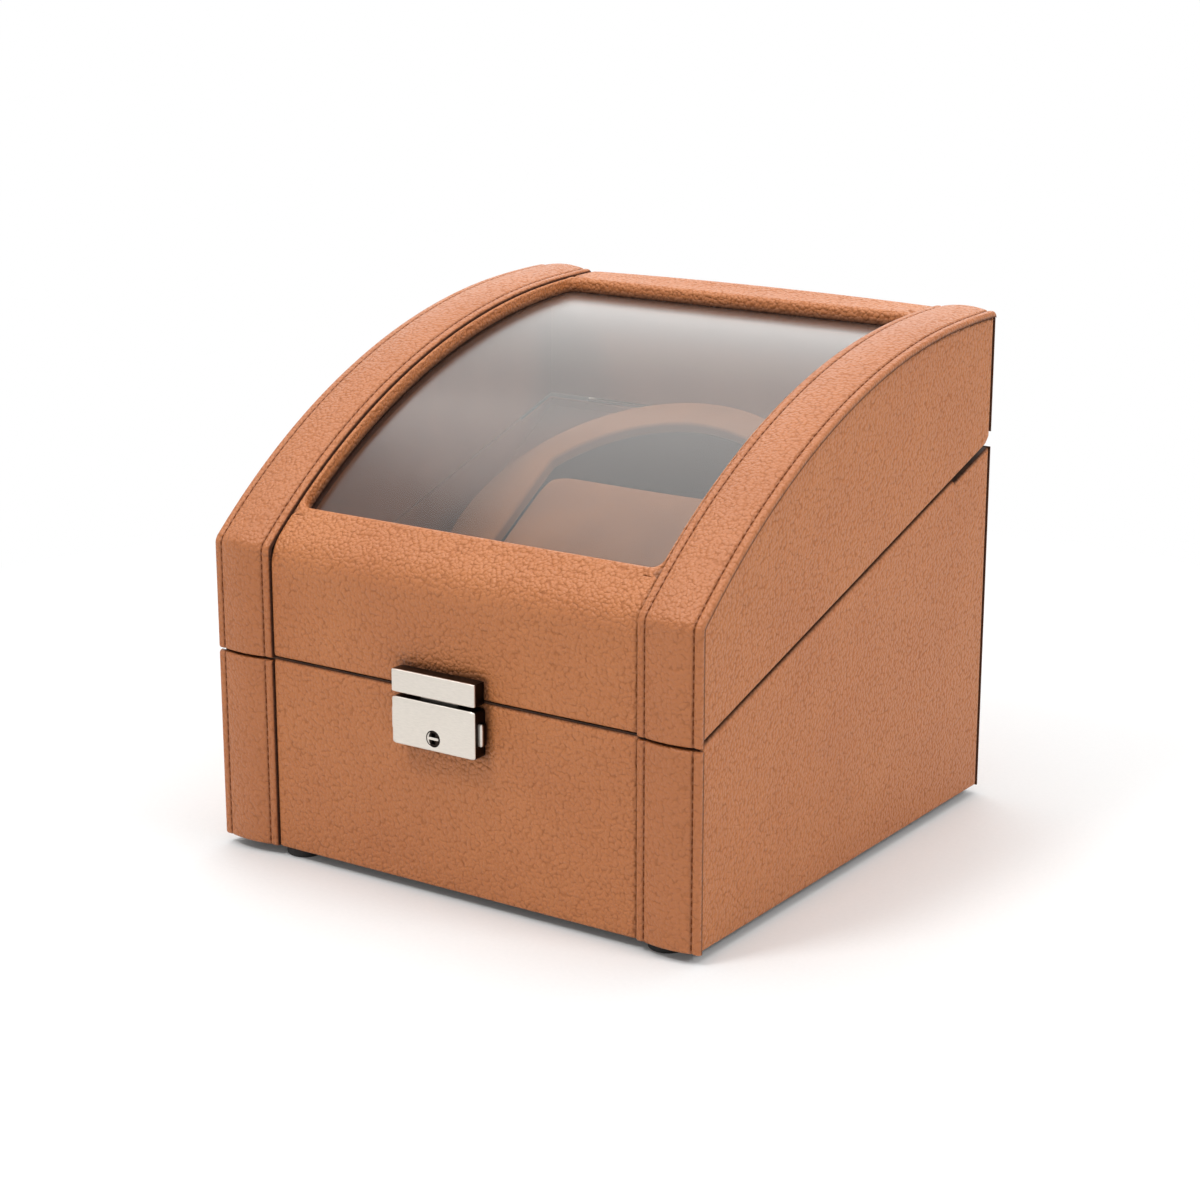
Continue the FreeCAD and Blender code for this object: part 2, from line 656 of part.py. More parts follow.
def slope_u(y, z):
    """Up-slope place of a point of the side view."""
    return (f"((({y}) - rotor_back) * cos(rotor_tilt)"
            f" + (({z}) - rotor_rise) * sin(rotor_tilt))")


def slope_n(y, z):
    """Height of a point of the side view above the ring's face."""
    return (f"((({z}) - rotor_rise) * cos(rotor_tilt)"
            f" - (({y}) - rotor_back) * sin(rotor_tilt))")


def in_slope(y, z):
    """A point of the side view in the rotor's frame."""
    return (slope_u(y, z), slope_n(y, z))


def on_deck(y, depth):
    """Height of a plane parallel to the ring's face, at y."""
    return (f"(rotor_rise + (({y}) - rotor_back) * tan(rotor_tilt)"
            f" - ({depth}) / cos(rotor_tilt))")


def tray_end(depth, height):
    """Y at which the inclined plane comes down to a height."""
    return (f"(rotor_back + (({height}) - rotor_rise + ({depth}) / cos(rotor_tilt))"
            f" / tan(rotor_tilt))")


DECK_UNDER = "(deck_depth + deck_thickness)"
TRAY_UNDER = "(tray_height - deck_thickness)"


def make_deck():
    """The suede-covered deck: level at the front, inclined round the drum."""
    body = new_body("deck", ROTOR_FRAME)
    outline = [
        in_slope(INNER_FRONT, TRAY_UNDER),
        in_slope(tray_end(DECK_UNDER, TRAY_UNDER), TRAY_UNDER),
        in_slope(INNER_BACK, on_deck(INNER_BACK, DECK_UNDER)),
        in_slope(INNER_BACK, on_deck(INNER_BACK, "deck_depth")),
        in_slope(tray_end("deck_depth", "tray_height"), "tray_height"),
        in_slope(INNER_FRONT, "tray_height"),
    ]
    pad_x(body, f"-{SIDE_INNER}", SIDE_INNER, outline)
    bore_z(body, "(-deck_depth - 2 * deck_thickness)", "(-deck_depth + deck_thickness)",
           "(drum_radius + deck_clearance)")


def make_base_lining():
    """Suede-covered card on the four walls above the deck."""
    body = new_body("base_lining")
    bend = tray_end("deck_depth", "tray_height")

    def walls(y0, y1, drop):
        return [
            (y0, f"(tray_height - {drop})"), (bend, f"(tray_height - {drop})"),
            (y1, f"({on_deck(y1, 'deck_depth')} - {drop})"), (y1, low_rim(y1)),
            (RELIEF_START, low_rim(RELIEF_START)), (RELIEF_START, rim(RELIEF_START)),
            (y0, rim(y0)),
        ]
    pad_x(body, f"-{SIDE_INNER}", SIDE_INNER, walls(INNER_FRONT, INNER_BACK, "0"))
    cut_x(body, f"-{SIDE_LINED}", SIDE_LINED, [
        (LINED_FRONT, "foot_height"), (LINED_BACK, "foot_height"),
        (LINED_BACK, "crown_height"), (LINED_FRONT, "crown_height")])


# Lid: boards, leather, straps, window, lining

def make_lid_boards():
    def side_board(body, span):
        x0, x1 = span(SIDE_INNER, SIDE_BOARD)
        pad_x(body, x0, x1, lid_profile(BOARD_FRONT, BOARD_BACK, STRAP_INSET))
        chamfer_lid(body, x0, x1)
    both_sides("lid_side_board", side_board)

    body = new_body("lid_top_board")
    pad_x(body, f"-{SIDE_INNER}", SIDE_INNER,
          [(BOARD_FRONT, lid_edge(BOARD_FRONT))]
          + curve_back(BOARD_FRONT, BOARD_BACK, STRAP_INSET)
          + curve_forward(INNER_FRONT, BOARD_BACK, BOARD_INSET)
          + [(INNER_FRONT, lid_edge(INNER_FRONT))])
    round_edges(body, along_x_at(BOARD_FRONT, front_curve(BOARD_FRONT, STRAP_INSET)),
                "bend_radius - leather")
    opening = new_sketch(body, "XY_Plane", "0")
    add_outline(opening, rectangle(
        f"(-{WINDOW_SIDE} - leather)", f"({WINDOW_FRONT} - leather)",
        f"({WINDOW_SIDE} + leather)", f"({WINDOW_BACK} + leather)"))
    pocket(body, opening, "crown_height * 2")

    body = new_body("lid_back_board")
    pad_x(body, f"-{SIDE_INNER}", SIDE_INNER, [
        (INNER_BACK, lid_edge(INNER_BACK)),
        (BOARD_BACK, lid_edge(BOARD_BACK)),
        (BOARD_BACK, rear_curve(BOARD_BACK, BOARD_INSET),
         f"({REAR_RADIUS} - {BOARD_INSET})", "left"),
        (INNER_BACK, rear_curve(INNER_BACK, BOARD_INSET)),
    ])
    chamfer_lid(body, f"-{SIDE_INNER}", SIDE_INNER)


def make_lid_leather():
    cover_inset = "(strap_raise)"
    front_lip = f"({WINDOW_FRONT} - leather)"
    lip_side = f"({WINDOW_SIDE} + leather)"
    body = new_body("lid_front_cover")
    pad_x(body, f"-{STRAP_INNER}", STRAP_INNER, [
        (COVER_FRONT, lid_edge(COVER_FRONT)),
        (COVER_FRONT, front_curve(COVER_FRONT, cover_inset),
         f"({FRONT_RADIUS} - {cover_inset})", "right"),
        (WINDOW_FRONT, front_curve(WINDOW_FRONT, cover_inset)),
        (WINDOW_FRONT, front_curve(WINDOW_FRONT, STRAP_INSET),
         f"({FRONT_RADIUS} - {STRAP_INSET})", "left"),
        (BOARD_FRONT, front_curve(BOARD_FRONT, STRAP_INSET)),
        (BOARD_FRONT, lid_edge(BOARD_FRONT)),
    ])
    pad_x(body, f"-{lip_side}", lip_side, [
        (WINDOW_FRONT, front_curve(WINDOW_FRONT, STRAP_INSET)),
        (WINDOW_FRONT, front_curve(WINDOW_FRONT, BOARD_INSET)),
        (front_lip, front_curve(front_lip, BOARD_INSET)),
        (front_lip, front_curve(front_lip, STRAP_INSET),
         f"({FRONT_RADIUS} - {STRAP_INSET})", "right"),
    ])
    round_edges(body, along_x_at(COVER_FRONT, front_curve(COVER_FRONT, cover_inset)),
                "bend_radius")
    round_edges(body, along_x_at(BOARD_FRONT, front_curve(BOARD_FRONT, STRAP_INSET)),
                "bend_radius - leather")
    round_edges(body, along_x_at(WINDOW_FRONT, front_curve(WINDOW_FRONT, cover_inset)),
                "roll_round")

    back_lip = f"({WINDOW_BACK} + leather)"
    body = new_body("lid_back_cover")
    pad_x(body, f"-{SIDE_FACE}", SIDE_FACE, [
        (BOARD_BACK, lid_edge(BOARD_BACK)),
        (BACK_FACE, lid_edge(BACK_FACE)),
        (BACK_FACE, rear_curve(BACK_FACE, STRAP_INSET),
         f"({REAR_RADIUS} - {STRAP_INSET})", "left"),
        (BOARD_BACK, rear_curve(BOARD_BACK, STRAP_INSET)),
    ])
    pad_x(body, f"-{STRAP_INNER}", STRAP_INNER, [
        (BACK_FACE, rear_curve(BACK_FACE, STRAP_INSET)),
        (BACK_FACE, rear_curve(BACK_FACE, cover_inset),
         f"({REAR_RADIUS} - {cover_inset})", "left"),
        (WINDOW_BACK, rear_curve(WINDOW_BACK, cover_inset)),
        (WINDOW_BACK, rear_curve(WINDOW_BACK, STRAP_INSET),
         f"({REAR_RADIUS} - {STRAP_INSET})", "right"),
    ])
    pad_x(body, f"-{lip_side}", lip_side, [
        (WINDOW_BACK, rear_curve(WINDOW_BACK, STRAP_INSET),
         f"({REAR_RADIUS} - {STRAP_INSET})", "right"),
        (back_lip, rear_curve(back_lip, STRAP_INSET)),
        (back_lip, rear_curve(back_lip, BOARD_INSET)),
        (WINDOW_BACK, rear_curve(WINDOW_BACK, BOARD_INSET)),
    ])
    round_edges(body, along_x_at(WINDOW_BACK, rear_curve(WINDOW_BACK, cover_inset)),
                "roll_round")
    chamfer_lid(body, f"-{SIDE_FACE}", SIDE_FACE)

    def side_cover(body, span):
        x0, x1 = span(SIDE_BOARD, SIDE_FACE)
        pad_x(body, x0, x1, lid_profile(BOARD_FRONT, BOARD_BACK, STRAP_INSET))
        chamfer_lid(body, x0, x1)
    both_sides("lid_side_cover", side_cover)

    def strap(body, span):
        x0, x1 = span(STRAP_INNER, STRAP_EDGE)
        pad_x(body, x0, x1, [(FRONT_FACE, lid_edge(FRONT_FACE))]
              + curve_back(FRONT_FACE, BACK_FACE, "0")
              + curve_forward(BOARD_FRONT, BACK_FACE, STRAP_INSET)
              + [(BOARD_FRONT, lid_edge(BOARD_FRONT))])
        round_edges(body, along_x_at(FRONT_FACE, front_curve(FRONT_FACE, "0")),
                    "strap_corner")
        round_edges(body, along_curve((x0, x1), "0"), "strap_round")
    both_sides("lid_strap", strap)

    def roll(body, span):
        x0, x1 = span(WINDOW_SIDE, STRAP_INNER)
        pad_x(body, x0, x1, curve_back(WINDOW_FRONT, WINDOW_BACK, cover_inset)
              + curve_forward(WINDOW_FRONT, WINDOW_BACK, STRAP_INSET))
        x0, x1 = span(WINDOW_SIDE, f"({WINDOW_SIDE} + leather)")
        pad_x(body, x0, x1, curve_back(WINDOW_FRONT, WINDOW_BACK, STRAP_INSET)
              + curve_forward(WINDOW_FRONT, WINDOW_BACK, BOARD_INSET))
        round_edges(body, along_curve((WINDOW_SIDE, f"-{WINDOW_SIDE}"), cover_inset),
                    "side_round")
    both_sides("window_roll", roll)


def make_window():
    lap_front = f"({WINDOW_FRONT} - window_lap)"
    lap_back = f"({WINDOW_BACK} + window_lap)"
    lap_side = f"({WINDOW_SIDE} + window_lap)"
    body = new_body("window")
    pad_x(body, f"-{lap_side}", lap_side, curve_back(lap_front, lap_back, GLASS_INSET)
          + curve_forward(lap_front, lap_back, GLASS_INNER))

    body = new_body("window_bezel")
    pad_x(body, f"-{SIDE_INNER}", SIDE_INNER,
          curve_back(f"({INNER_FRONT})", INNER_BACK, FRAME_INSET)
          + curve_forward(f"({INNER_FRONT})", INNER_BACK, FRAME_INNER))
    opening = new_sketch(body, "XY_Plane", "0")
    add_outline(opening, rectangle(
        f"(-{WINDOW_SIDE} - frame_setback)", f"({WINDOW_FRONT} - frame_setback)",
        f"({WINDOW_SIDE} + frame_setback)", f"({WINDOW_BACK} + frame_setback)"))
    pocket(body, opening, "crown_height * 2")


def make_lid_lining():
    """Suede-covered card on the lid's four walls."""
    body = new_body("lid_lining")
    pad_x(body, f"-{SIDE_INNER}", SIDE_INNER,
          lid_profile(INNER_FRONT, INNER_BACK, LINING_TOP))
    cut_x(body, f"-{SIDE_LINED}", SIDE_LINED, [
        (LINED_FRONT, "foot_height"), (LINED_BACK, "foot_height"),
        (LINED_BACK, "crown_height"), (LINED_FRONT, "crown_height")])


# Hinges: leaves in the gap over the back wall, knuckles behind the back face.
# Their frame lies on the hinge axis and leans with the parting plane.

SEAM_ANGLE = "atan((seam_back - seam_front) / box_depth)"
AXIS_Y = "(box_depth / 2 + hinge_setback)"
AXIS_Z = f"({seam(AXIS_Y)} - hinge_relief / 2)"
HINGE_FRAME = ("0", AXIS_Y, AXIS_Z, SEAM_ANGLE)
HINGE_GAP = f"((seam_gap + hinge_relief) / 2 * cos({SEAM_ANGLE}))"
LEAF_FACE = f"({HINGE_GAP} - leaf_thickness)"
KNUCKLE = "(hinge_length / 3)"
KNUCKLE_CLEAR = "(knuckle_radius + hinge_play * 2)"


def round_x(body, x0, x1, radius, y="0", z="0"):
    """A round bar along X."""
    sketch = new_sketch(body, "YZ_Plane", x0)
    add_circle(sketch, y, z, radius)
    pad(body, sketch, f"({x1}) - ({x0})")


def bore_x(body, x0, x1, radius, y="0", z="0"):
    """A round hole along X."""
    sketch = new_sketch(body, "YZ_Plane", x0)
    add_circle(sketch, y, z, radius)
    pocket(body, sketch, f"({x1}) - ({x0})")


def make_hinges():
    centres = ("(-hinge_shift)", "(hinge_shift)")
    half = "hinge_length / 2"
    reach = f"(-{HINGE_SCREW_REACH})"

    body = new_body("hinge_base_leaves", HINGE_FRAME)
    for centre in centres:
        pad_z(body, f"-{HINGE_GAP}", f"-{LEAF_FACE}", [
            (f"{centre} - {half}", "-leaf_reach"), (f"{centre} + {half}", "-leaf_reach"),
            (f"{centre} + {half}", "0"), (f"{centre} + {KNUCKLE} / 2", "0"),
            (f"{centre} + {KNUCKLE} / 2", f"-{KNUCKLE_CLEAR}"),
            (f"{centre} - {KNUCKLE} / 2", f"-{KNUCKLE_CLEAR}"),
            (f"{centre} - {KNUCKLE} / 2", "0"), (f"{centre} - {half}", "0")])
        round_x(body, f"{centre} - {half}", f"{centre} - {KNUCKLE} / 2", "knuckle_radius")
        round_x(body, f"{centre} + {KNUCKLE} / 2", f"{centre} + {half}", "knuckle_radius")
    bore_x(body, f"-hinge_shift - {half}", f"hinge_shift + {half}", "pin_radius")
    for centre in centres:
        for sign in (-1, 1):
            bore_z(body, f"-2 * {HINGE_GAP}", f"-{LEAF_FACE}", "screw_radius",
                   f"{centre} + {sign} * base_screw_spread", reach)

    body = new_body("hinge_lid_leaves", HINGE_FRAME)
    for centre in centres:
        tab = f"({KNUCKLE} / 2 - hinge_play)"
        pad_z(body, LEAF_FACE, HINGE_GAP, [
            (f"{centre} - {half}", "-leaf_reach"), (f"{centre} + {half}", "-leaf_reach"),
            (f"{centre} + {half}", f"-{KNUCKLE_CLEAR}"),
            (f"{centre} + {tab}", f"-{KNUCKLE_CLEAR}"), (f"{centre} + {tab}", "0"),
            (f"{centre} - {tab}", "0"), (f"{centre} - {tab}", f"-{KNUCKLE_CLEAR}"),
            (f"{centre} - {half}", f"-{KNUCKLE_CLEAR}")])
        round_x(body, f"{centre} - {tab}", f"{centre} + {tab}", "knuckle_radius")
    bore_x(body, f"-hinge_shift - {half}", f"hinge_shift + {half}",
           "pin_radius + running_clearance")
    for centre in centres:
        for sign in (-1, 1):
            bore_z(body, LEAF_FACE, f"2 * {HINGE_GAP}", "screw_radius",
                   f"{centre} + {sign} * lid_screw_spread", reach)

    body = new_body("hinge_pins", HINGE_FRAME)
    for centre in centres:
        round_x(body, f"{centre} - {half}", f"{centre} + {half}", "pin_radius")

    body = new_body("hinge_base_screws", HINGE_FRAME)
    for centre in centres:
        for sign in (-1, 1):
            x = f"{centre} + {sign} * base_screw_spread"
            disc_z(body, f"-{HINGE_GAP} - screw_length", f"-{LEAF_FACE}", "screw_radius",
                   x, reach)
            disc_z(body, f"-{LEAF_FACE}", f"-{LEAF_FACE} + screw_head", "screw_radius * 2",
                   x, reach)

    body = new_body("hinge_lid_screws", HINGE_FRAME)
    for centre in centres:
        for sign in (-1, 1):
            x = f"{centre} + {sign} * lid_screw_spread"
            disc_z(body, LEAF_FACE, f"{HINGE_GAP} + screw_length", "screw_radius", x, reach)
            disc_z(body, f"{LEAF_FACE} - screw_head", LEAF_FACE, "screw_radius * 2", x, reach)


HINGE_SCREW_REACH = "(leaf_reach - leaf_margin)"


# Lock: hasp on the lid, case on the base with two push buttons and a key cylinder

LOCK_X = "(-lock_shift)"
LOCK_FACE = f"({COVER_FRONT} - lock_depth)"
LOCK_INSIDE = f"({LOCK_FACE} + lock_wall)"
LOCK_LEFT = f"({LOCK_X} - lock_width / 2)"
LOCK_RIGHT = f"({LOCK_X} + lock_width / 2)"
LOCK_BOTTOM = "(lock_top - lock_height)"
BUTTON_MIDDLE = f"(({LOCK_INSIDE} + {COVER_FRONT}) / 2)"
BUTTON_BACK = f"({BUTTON_MIDDLE} + button_depth / 2)"
BUTTON_FRONT = f"({BUTTON_MIDDLE} - button_depth / 2)"
BUTTON_TOP = "(button_rise + button_height / 2)"
BUTTON_BOTTOM = "(button_rise - button_height / 2)"
TONGUE_BACK = f"({COVER_FRONT} - tongue_gap)"
TONGUE_FRONT = f"({TONGUE_BACK} - tongue_thickness)"
RIVET_X = "(tongue_width / 2 + rivet_radius + post_wall + slip)"


def make_lock():
    body = new_body("lock_case")
    block_y(body, LOCK_FACE, COVER_FRONT,
            rectangle(LOCK_LEFT, LOCK_BOTTOM, LOCK_RIGHT, "lock_top"))
    round_edges(body, lambda edge: edge.Length > value("lock_wall") and all(
        abs(v.Y - value(LOCK_FACE)) < 0.01 for v in edge.Vertexes), "lock_edge")
    cut_y(body, LOCK_INSIDE, COVER_FRONT, rectangle(
        f"{LOCK_LEFT} + lock_wall", f"{LOCK_BOTTOM} + lock_wall",
        f"{LOCK_RIGHT} - lock_wall", "lock_top - lock_wall"))
    cut_y(body, LOCK_INSIDE, COVER_FRONT, rectangle(
        f"{LOCK_X} - tongue_width / 2 - slip * 2", "lock_top - lock_wall * 2",
        f"{LOCK_X} + tongue_width / 2 + slip * 2", "lock_top + lock_wall"))
    cut_x(body, f"{LOCK_LEFT} - lock_wall", f"{LOCK_RIGHT} + lock_wall", rectangle(
        f"{BUTTON_FRONT} - slip", f"{BUTTON_BOTTOM} - slip",
        f"{BUTTON_BACK} + slip", f"{BUTTON_TOP} + slip"))
    bore_y(body, f"{LOCK_FACE} - lock_wall", LOCK_INSIDE,
           "key_radius + running_clearance", LOCK_X, "key_height")
    for sign in (-1, 1):
        x = f"{LOCK_X} + {sign} * {RIVET_X}"
        disc_y(body, LOCK_INSIDE, COVER_FRONT, "rivet_radius + post_wall", x, "rivet_height")
        bore_y(body, f"{LOCK_INSIDE} + lock_wall", COVER_FRONT, "rivet_radius", x,
               "rivet_height")

    body = new_body("lock_rivets")
    for sign in (-1, 1):
        x = f"{LOCK_X} + {sign} * {RIVET_X}"
        disc_y(body, f"{LOCK_INSIDE} + lock_wall", LINED_FRONT, "rivet_radius", x,
               "rivet_height")
        disc_y(body, LINED_FRONT, f"{LINED_FRONT} + rivet_head", "rivet_radius * 2", x,
               "rivet_height")

    for side, sign in (("left", -1), ("right", 1)):
        def span(inner, outer, sign=sign):
            near = f"{LOCK_X} + {sign} * (lock_width / 2 + ({inner}))"
            far = f"{LOCK_X} + {sign} * (lock_width / 2 + ({outer}))"
            return (near, far) if sign > 0 else (far, near)
        body = new_body(f"lock_button_{side}")
        x0, x1 = span("-lock_wall - slip", "button_stand")
        pad_x(body, x0, x1, rectangle(BUTTON_FRONT, BUTTON_BOTTOM, BUTTON_BACK, BUTTON_TOP))
        x0, x1 = span("-lock_wall - slip - button_collar", "-lock_wall - slip")
        pad_x(body, x0, x1, rectangle(
            f"{BUTTON_FRONT} - button_lip", f"{BUTTON_BOTTOM} - button_lip",
            f"{BUTTON_BACK} + button_lip", f"{BUTTON_TOP} + button_lip"))

    body = new_body("lock_springs")
    collar = "(lock_width / 2 - lock_wall - slip - button_collar)"
    for sign in (-1, 1):
        def at(inset, height, sign=sign):
            return (f"{LOCK_X} + {sign} * ({collar} - ({inset}))", height)
        foot = f"{LOCK_BOTTOM} + lock_wall"
        block_y(body, f"{BUTTON_MIDDLE} - button_depth / 4",
                f"{BUTTON_MIDDLE} + button_depth / 4", [
            at("spring_bow", foot), at("spring_bow + spring_leaf", foot),
            at("spring_leaf", "button_rise - 1"), at("spring_leaf", "button_rise + 1"),
            at("0", "button_rise + 1"), at("0", "button_rise - 1")])

    body = new_body("lock_cylinder")
    disc_y(body, f"{LOCK_FACE} + key_inset", f"{LOCK_INSIDE} + slip", "key_radius", LOCK_X,
           "key_height")
    disc_y(body, f"{LOCK_INSIDE} + slip", f"{COVER_FRONT} - slip * 2", "key_collar", LOCK_X,
           "key_height")
    for sign in (-1, 1):
        middle = f"key_height + {sign} * key_slot_shift"
        cut_y(body, LOCK_FACE, f"{LOCK_FACE} + key_depth", rectangle(
            f"{LOCK_X} - key_slot / 2", f"{middle} - key_slot_height / 2",
            f"{LOCK_X} + key_slot / 2", f"{middle} + key_slot_height / 2"))

    body = new_body("hasp")
    block_y(body, LOCK_FACE, COVER_FRONT, rectangle(
        LOCK_LEFT, "hasp_bottom", LOCK_RIGHT, "hasp_bottom + hasp_height"))
    round_edges(body, lambda edge: all(
        abs(v.Y - value(LOCK_FACE)) < 0.01 for v in edge.Vertexes), "lock_edge")
    block_y(body, TONGUE_FRONT, TONGUE_BACK, rectangle(
        f"{LOCK_X} - tongue_width / 2", "hasp_bottom - tongue_length",
        f"{LOCK_X} + tongue_width / 2", "hasp_bottom + hasp_height / 2"))
    for sign in (-1, 1):
        bore_y(body, f"{LOCK_INSIDE} + lock_wall", COVER_FRONT, "rivet_radius",
               f"{LOCK_X} + {sign} * {RIVET_X}", "hasp_bottom + hasp_height / 2")

    body = new_body("hasp_rivets")
    for sign in (-1, 1):
        x = f"{LOCK_X} + {sign} * {RIVET_X}"
        disc_y(body, f"{LOCK_INSIDE} + lock_wall", LINED_FRONT, "rivet_radius", x,
               "hasp_bottom + hasp_height / 2")
        disc_y(body, LINED_FRONT, f"{LINED_FRONT} + rivet_head", "rivet_radius * 2", x,
               "hasp_bottom + hasp_height / 2")


# Rotor: suede ring, drum, cushion, shaft, all in the rotor's frame

DRUM_FLOOR = "(drum_depth - drum_bottom)"
FLANGE_UNDER = "(drum_depth + flange_thickness)"
BUSH_TOP = f"({FLANGE_UNDER} + axial_gap)"
PLATE_TOP = f"({BUSH_TOP} + bush_rim)"
PLATE_UNDER = f"({PLATE_TOP} + plate_thickness)"
LOWER_TOP = f"({PLATE_UNDER} + plate_spacing)"
LOWER_UNDER = f"({LOWER_TOP} + plate_thickness)"
CLIP_TOP = f"({LOWER_UNDER} + bush_rim + axial_gap)"
CLIP_UNDER = f"({CLIP_TOP} + clip_thickness)"
GEAR_TOP = f"({PLATE_UNDER} + gear_lift)"
GEAR_UNDER = f"({GEAR_TOP} + gear_thickness)"


def barrel_hole(gap):
    """The barrel-shaped hole in the ring: two straight sides between two arcs."""
    side = f"(hole_half_width - ({gap}))"
    corner = f"sqrt((hole_radius - ({gap}))^2 - {side}^2)"
    return [
        (side, f"-{corner}"), (side, corner, f"hole_radius - ({gap})", "left"),
        (f"-{side}", corner), (f"-{side}", f"-{corner}", f"hole_radius - ({gap})", "left"),
    ]


def make_rotor():
    body = new_body("drum_ring", ROTOR_FRAME)
    disc_z(body, "-ring_thickness", "0", "ring_radius")
    round_edges(body, lambda edge: abs(edge.Length - 2 * math.pi * value("ring_radius")) < 0.1
                and edge.BoundBox.Center.z > value("-ring_thickness / 2"), "ring_round")
    hole = new_sketch(body, "XY_Plane", "-2 * ring_thickness")
    add_outline(hole, barrel_hole("0"))
    pocket(body, hole, "3 * ring_thickness")

    body = new_body("drum", ROTOR_FRAME)
    disc_z(body, "-drum_depth", "-ring_thickness", "drum_radius")
    bore_z(body, f"-{DRUM_FLOOR}", "-ring_thickness", "drum_radius - drum_wall")

    body = new_body("drum_shaft", ROTOR_FRAME)
    disc_z(body, f"-{FLANGE_UNDER}", "-drum_depth", "flange_radius")
    disc_z(body, f"-{CLIP_UNDER} - clip_thickness", f"-{FLANGE_UNDER}", "shaft_radius")

    body = new_body("shaft_clip", ROTOR_FRAME)
    disc_z(body, f"-{CLIP_UNDER}", f"-{CLIP_TOP}", "shaft_radius + clip_width")
    bore_z(body, f"-{CLIP_UNDER}", f"-{CLIP_TOP}", "shaft_radius")


def make_cushion():
    """The cushion: crowned on top, with rounded shoulders and ends that draw in."""
    body = new_body("cushion", ROTOR_FRAME)
    half = "(hole_half_width - cushion_gap)"
    stations = (("-1", "1"), ("-0.88", "0.15"), ("0", "0"), ("0.88", "0.15"), ("1", "1"))
    sketches = []
    for share, drawn in stations:
        width = f"(cushion_height / 2 - cushion_draw * {drawn})"
        top = f"(cushion_stand - cushion_crown * {drawn})"
        shoulder = f"({top} - cushion_crown)"
        low = f"(-{DRUM_FLOOR} + cushion_seat)"
        inner = f"({width} - cushion_round)"
        sketch = new_sketch(body, "YZ_Plane", f"{half} * {share}")
        crown = f"(({inner}^2 + cushion_crown^2) / (2 * cushion_crown))"
        add_outline(sketch, [
            (f"-{width}", low), (width, low),
            (width, f"{shoulder} - cushion_round"),
            (inner, shoulder, crown, "left"),
            (f"-{inner}", shoulder),
            (f"-{width}", f"{shoulder} - cushion_round")])
        sketches.append(sketch)
    loft = body.newObject("PartDesign::AdditiveLoft", "cushion_loft")
    loft.Profile = sketches[0]
    loft.Sections = sketches[1:]
    loft.Ruled = False
    document.recompute()


# Drive: frame, bushes, gears and gear motor

def involute(radius, teeth):
    """Half the angle that a tooth fills at a radius, from the involute's formula."""
    pitch = f"(gear_module * {teeth} / 2)"
    base = f"({pitch} * cos(pressure_angle))"
    at_radius = f"acos(min({base} / ({radius}); 1))"
    turn = "(180 deg / pi)"
    return (f"(90 deg / {teeth} - backlash / 2 / (2 * {pitch}) * {turn}"
            f" + tan(pressure_angle) * {turn} - pressure_angle * 1 deg"
            f" - tan({at_radius}) * {turn} + {at_radius})")


def make_gear(body, teeth, bore, turned):
    """A spur gear: a disc at the root circle and involute teeth in a polar pattern."""
    pitch = f"(gear_module * {teeth} / 2)"
    root = f"({pitch} - gear_dedendum)"
    disc_z(body, f"-{GEAR_UNDER}", f"-{GEAR_TOP}", root)
    flank = []
    for share in (0, 0.25, 0.5, 0.75, 1):
        radius = f"({pitch} - gear_dedendum + {share} * (gear_addendum + gear_dedendum))"
        flank.append((radius, involute(radius, teeth)))
    points = [(f"({root} - gear_module / 2) * cos({angle} + {turned})",
               f"({root} - gear_module / 2) * sin({angle} + {turned})")
              for angle in (f"(-{flank[0][1]})",)]
    points += [(f"{r} * cos({turned} - {a})", f"{r} * sin({turned} - {a})") for r, a in flank]
    points += [(f"{r} * cos({turned} + {a})", f"{r} * sin({turned} + {a})")
               for r, a in reversed(flank)]
    points.append((f"({root} - gear_module / 2) * cos({turned} + {flank[0][1]})",
                   f"({root} - gear_module / 2) * sin({turned} + {flank[0][1]})"))
    tooth = pad_z(body, f"-{GEAR_UNDER}", f"-{GEAR_TOP}", points)
    pattern = body.newObject("PartDesign::PolarPattern", body.Name + "_teeth")
    pattern.Originals = [tooth]
    axis = next(f for f in body.Origin.OriginFeatures if f.Role == "Z_Axis")
    pattern.Axis = (axis, [""])
    pattern.Angle = 360
    pattern.setExpression("Occurrences", bound(teeth))
    body.Tip = pattern
    document.recompute()
    if bore:
        bore_z(body, f"-{GEAR_UNDER}", f"-{GEAR_TOP}", bore)


CENTRE_DISTANCE = "(gear_module * (gear_teeth + pinion_teeth) / 2)"
MOTOR_FRAME = (CENTRE_DISTANCE,) + ROTOR_FRAME[1:]
GEARBOX_UNDER = f"({LOWER_UNDER} + gearbox_length)"
SHAFT_END = f"({LOWER_UNDER} + motor_shaft_grip)"


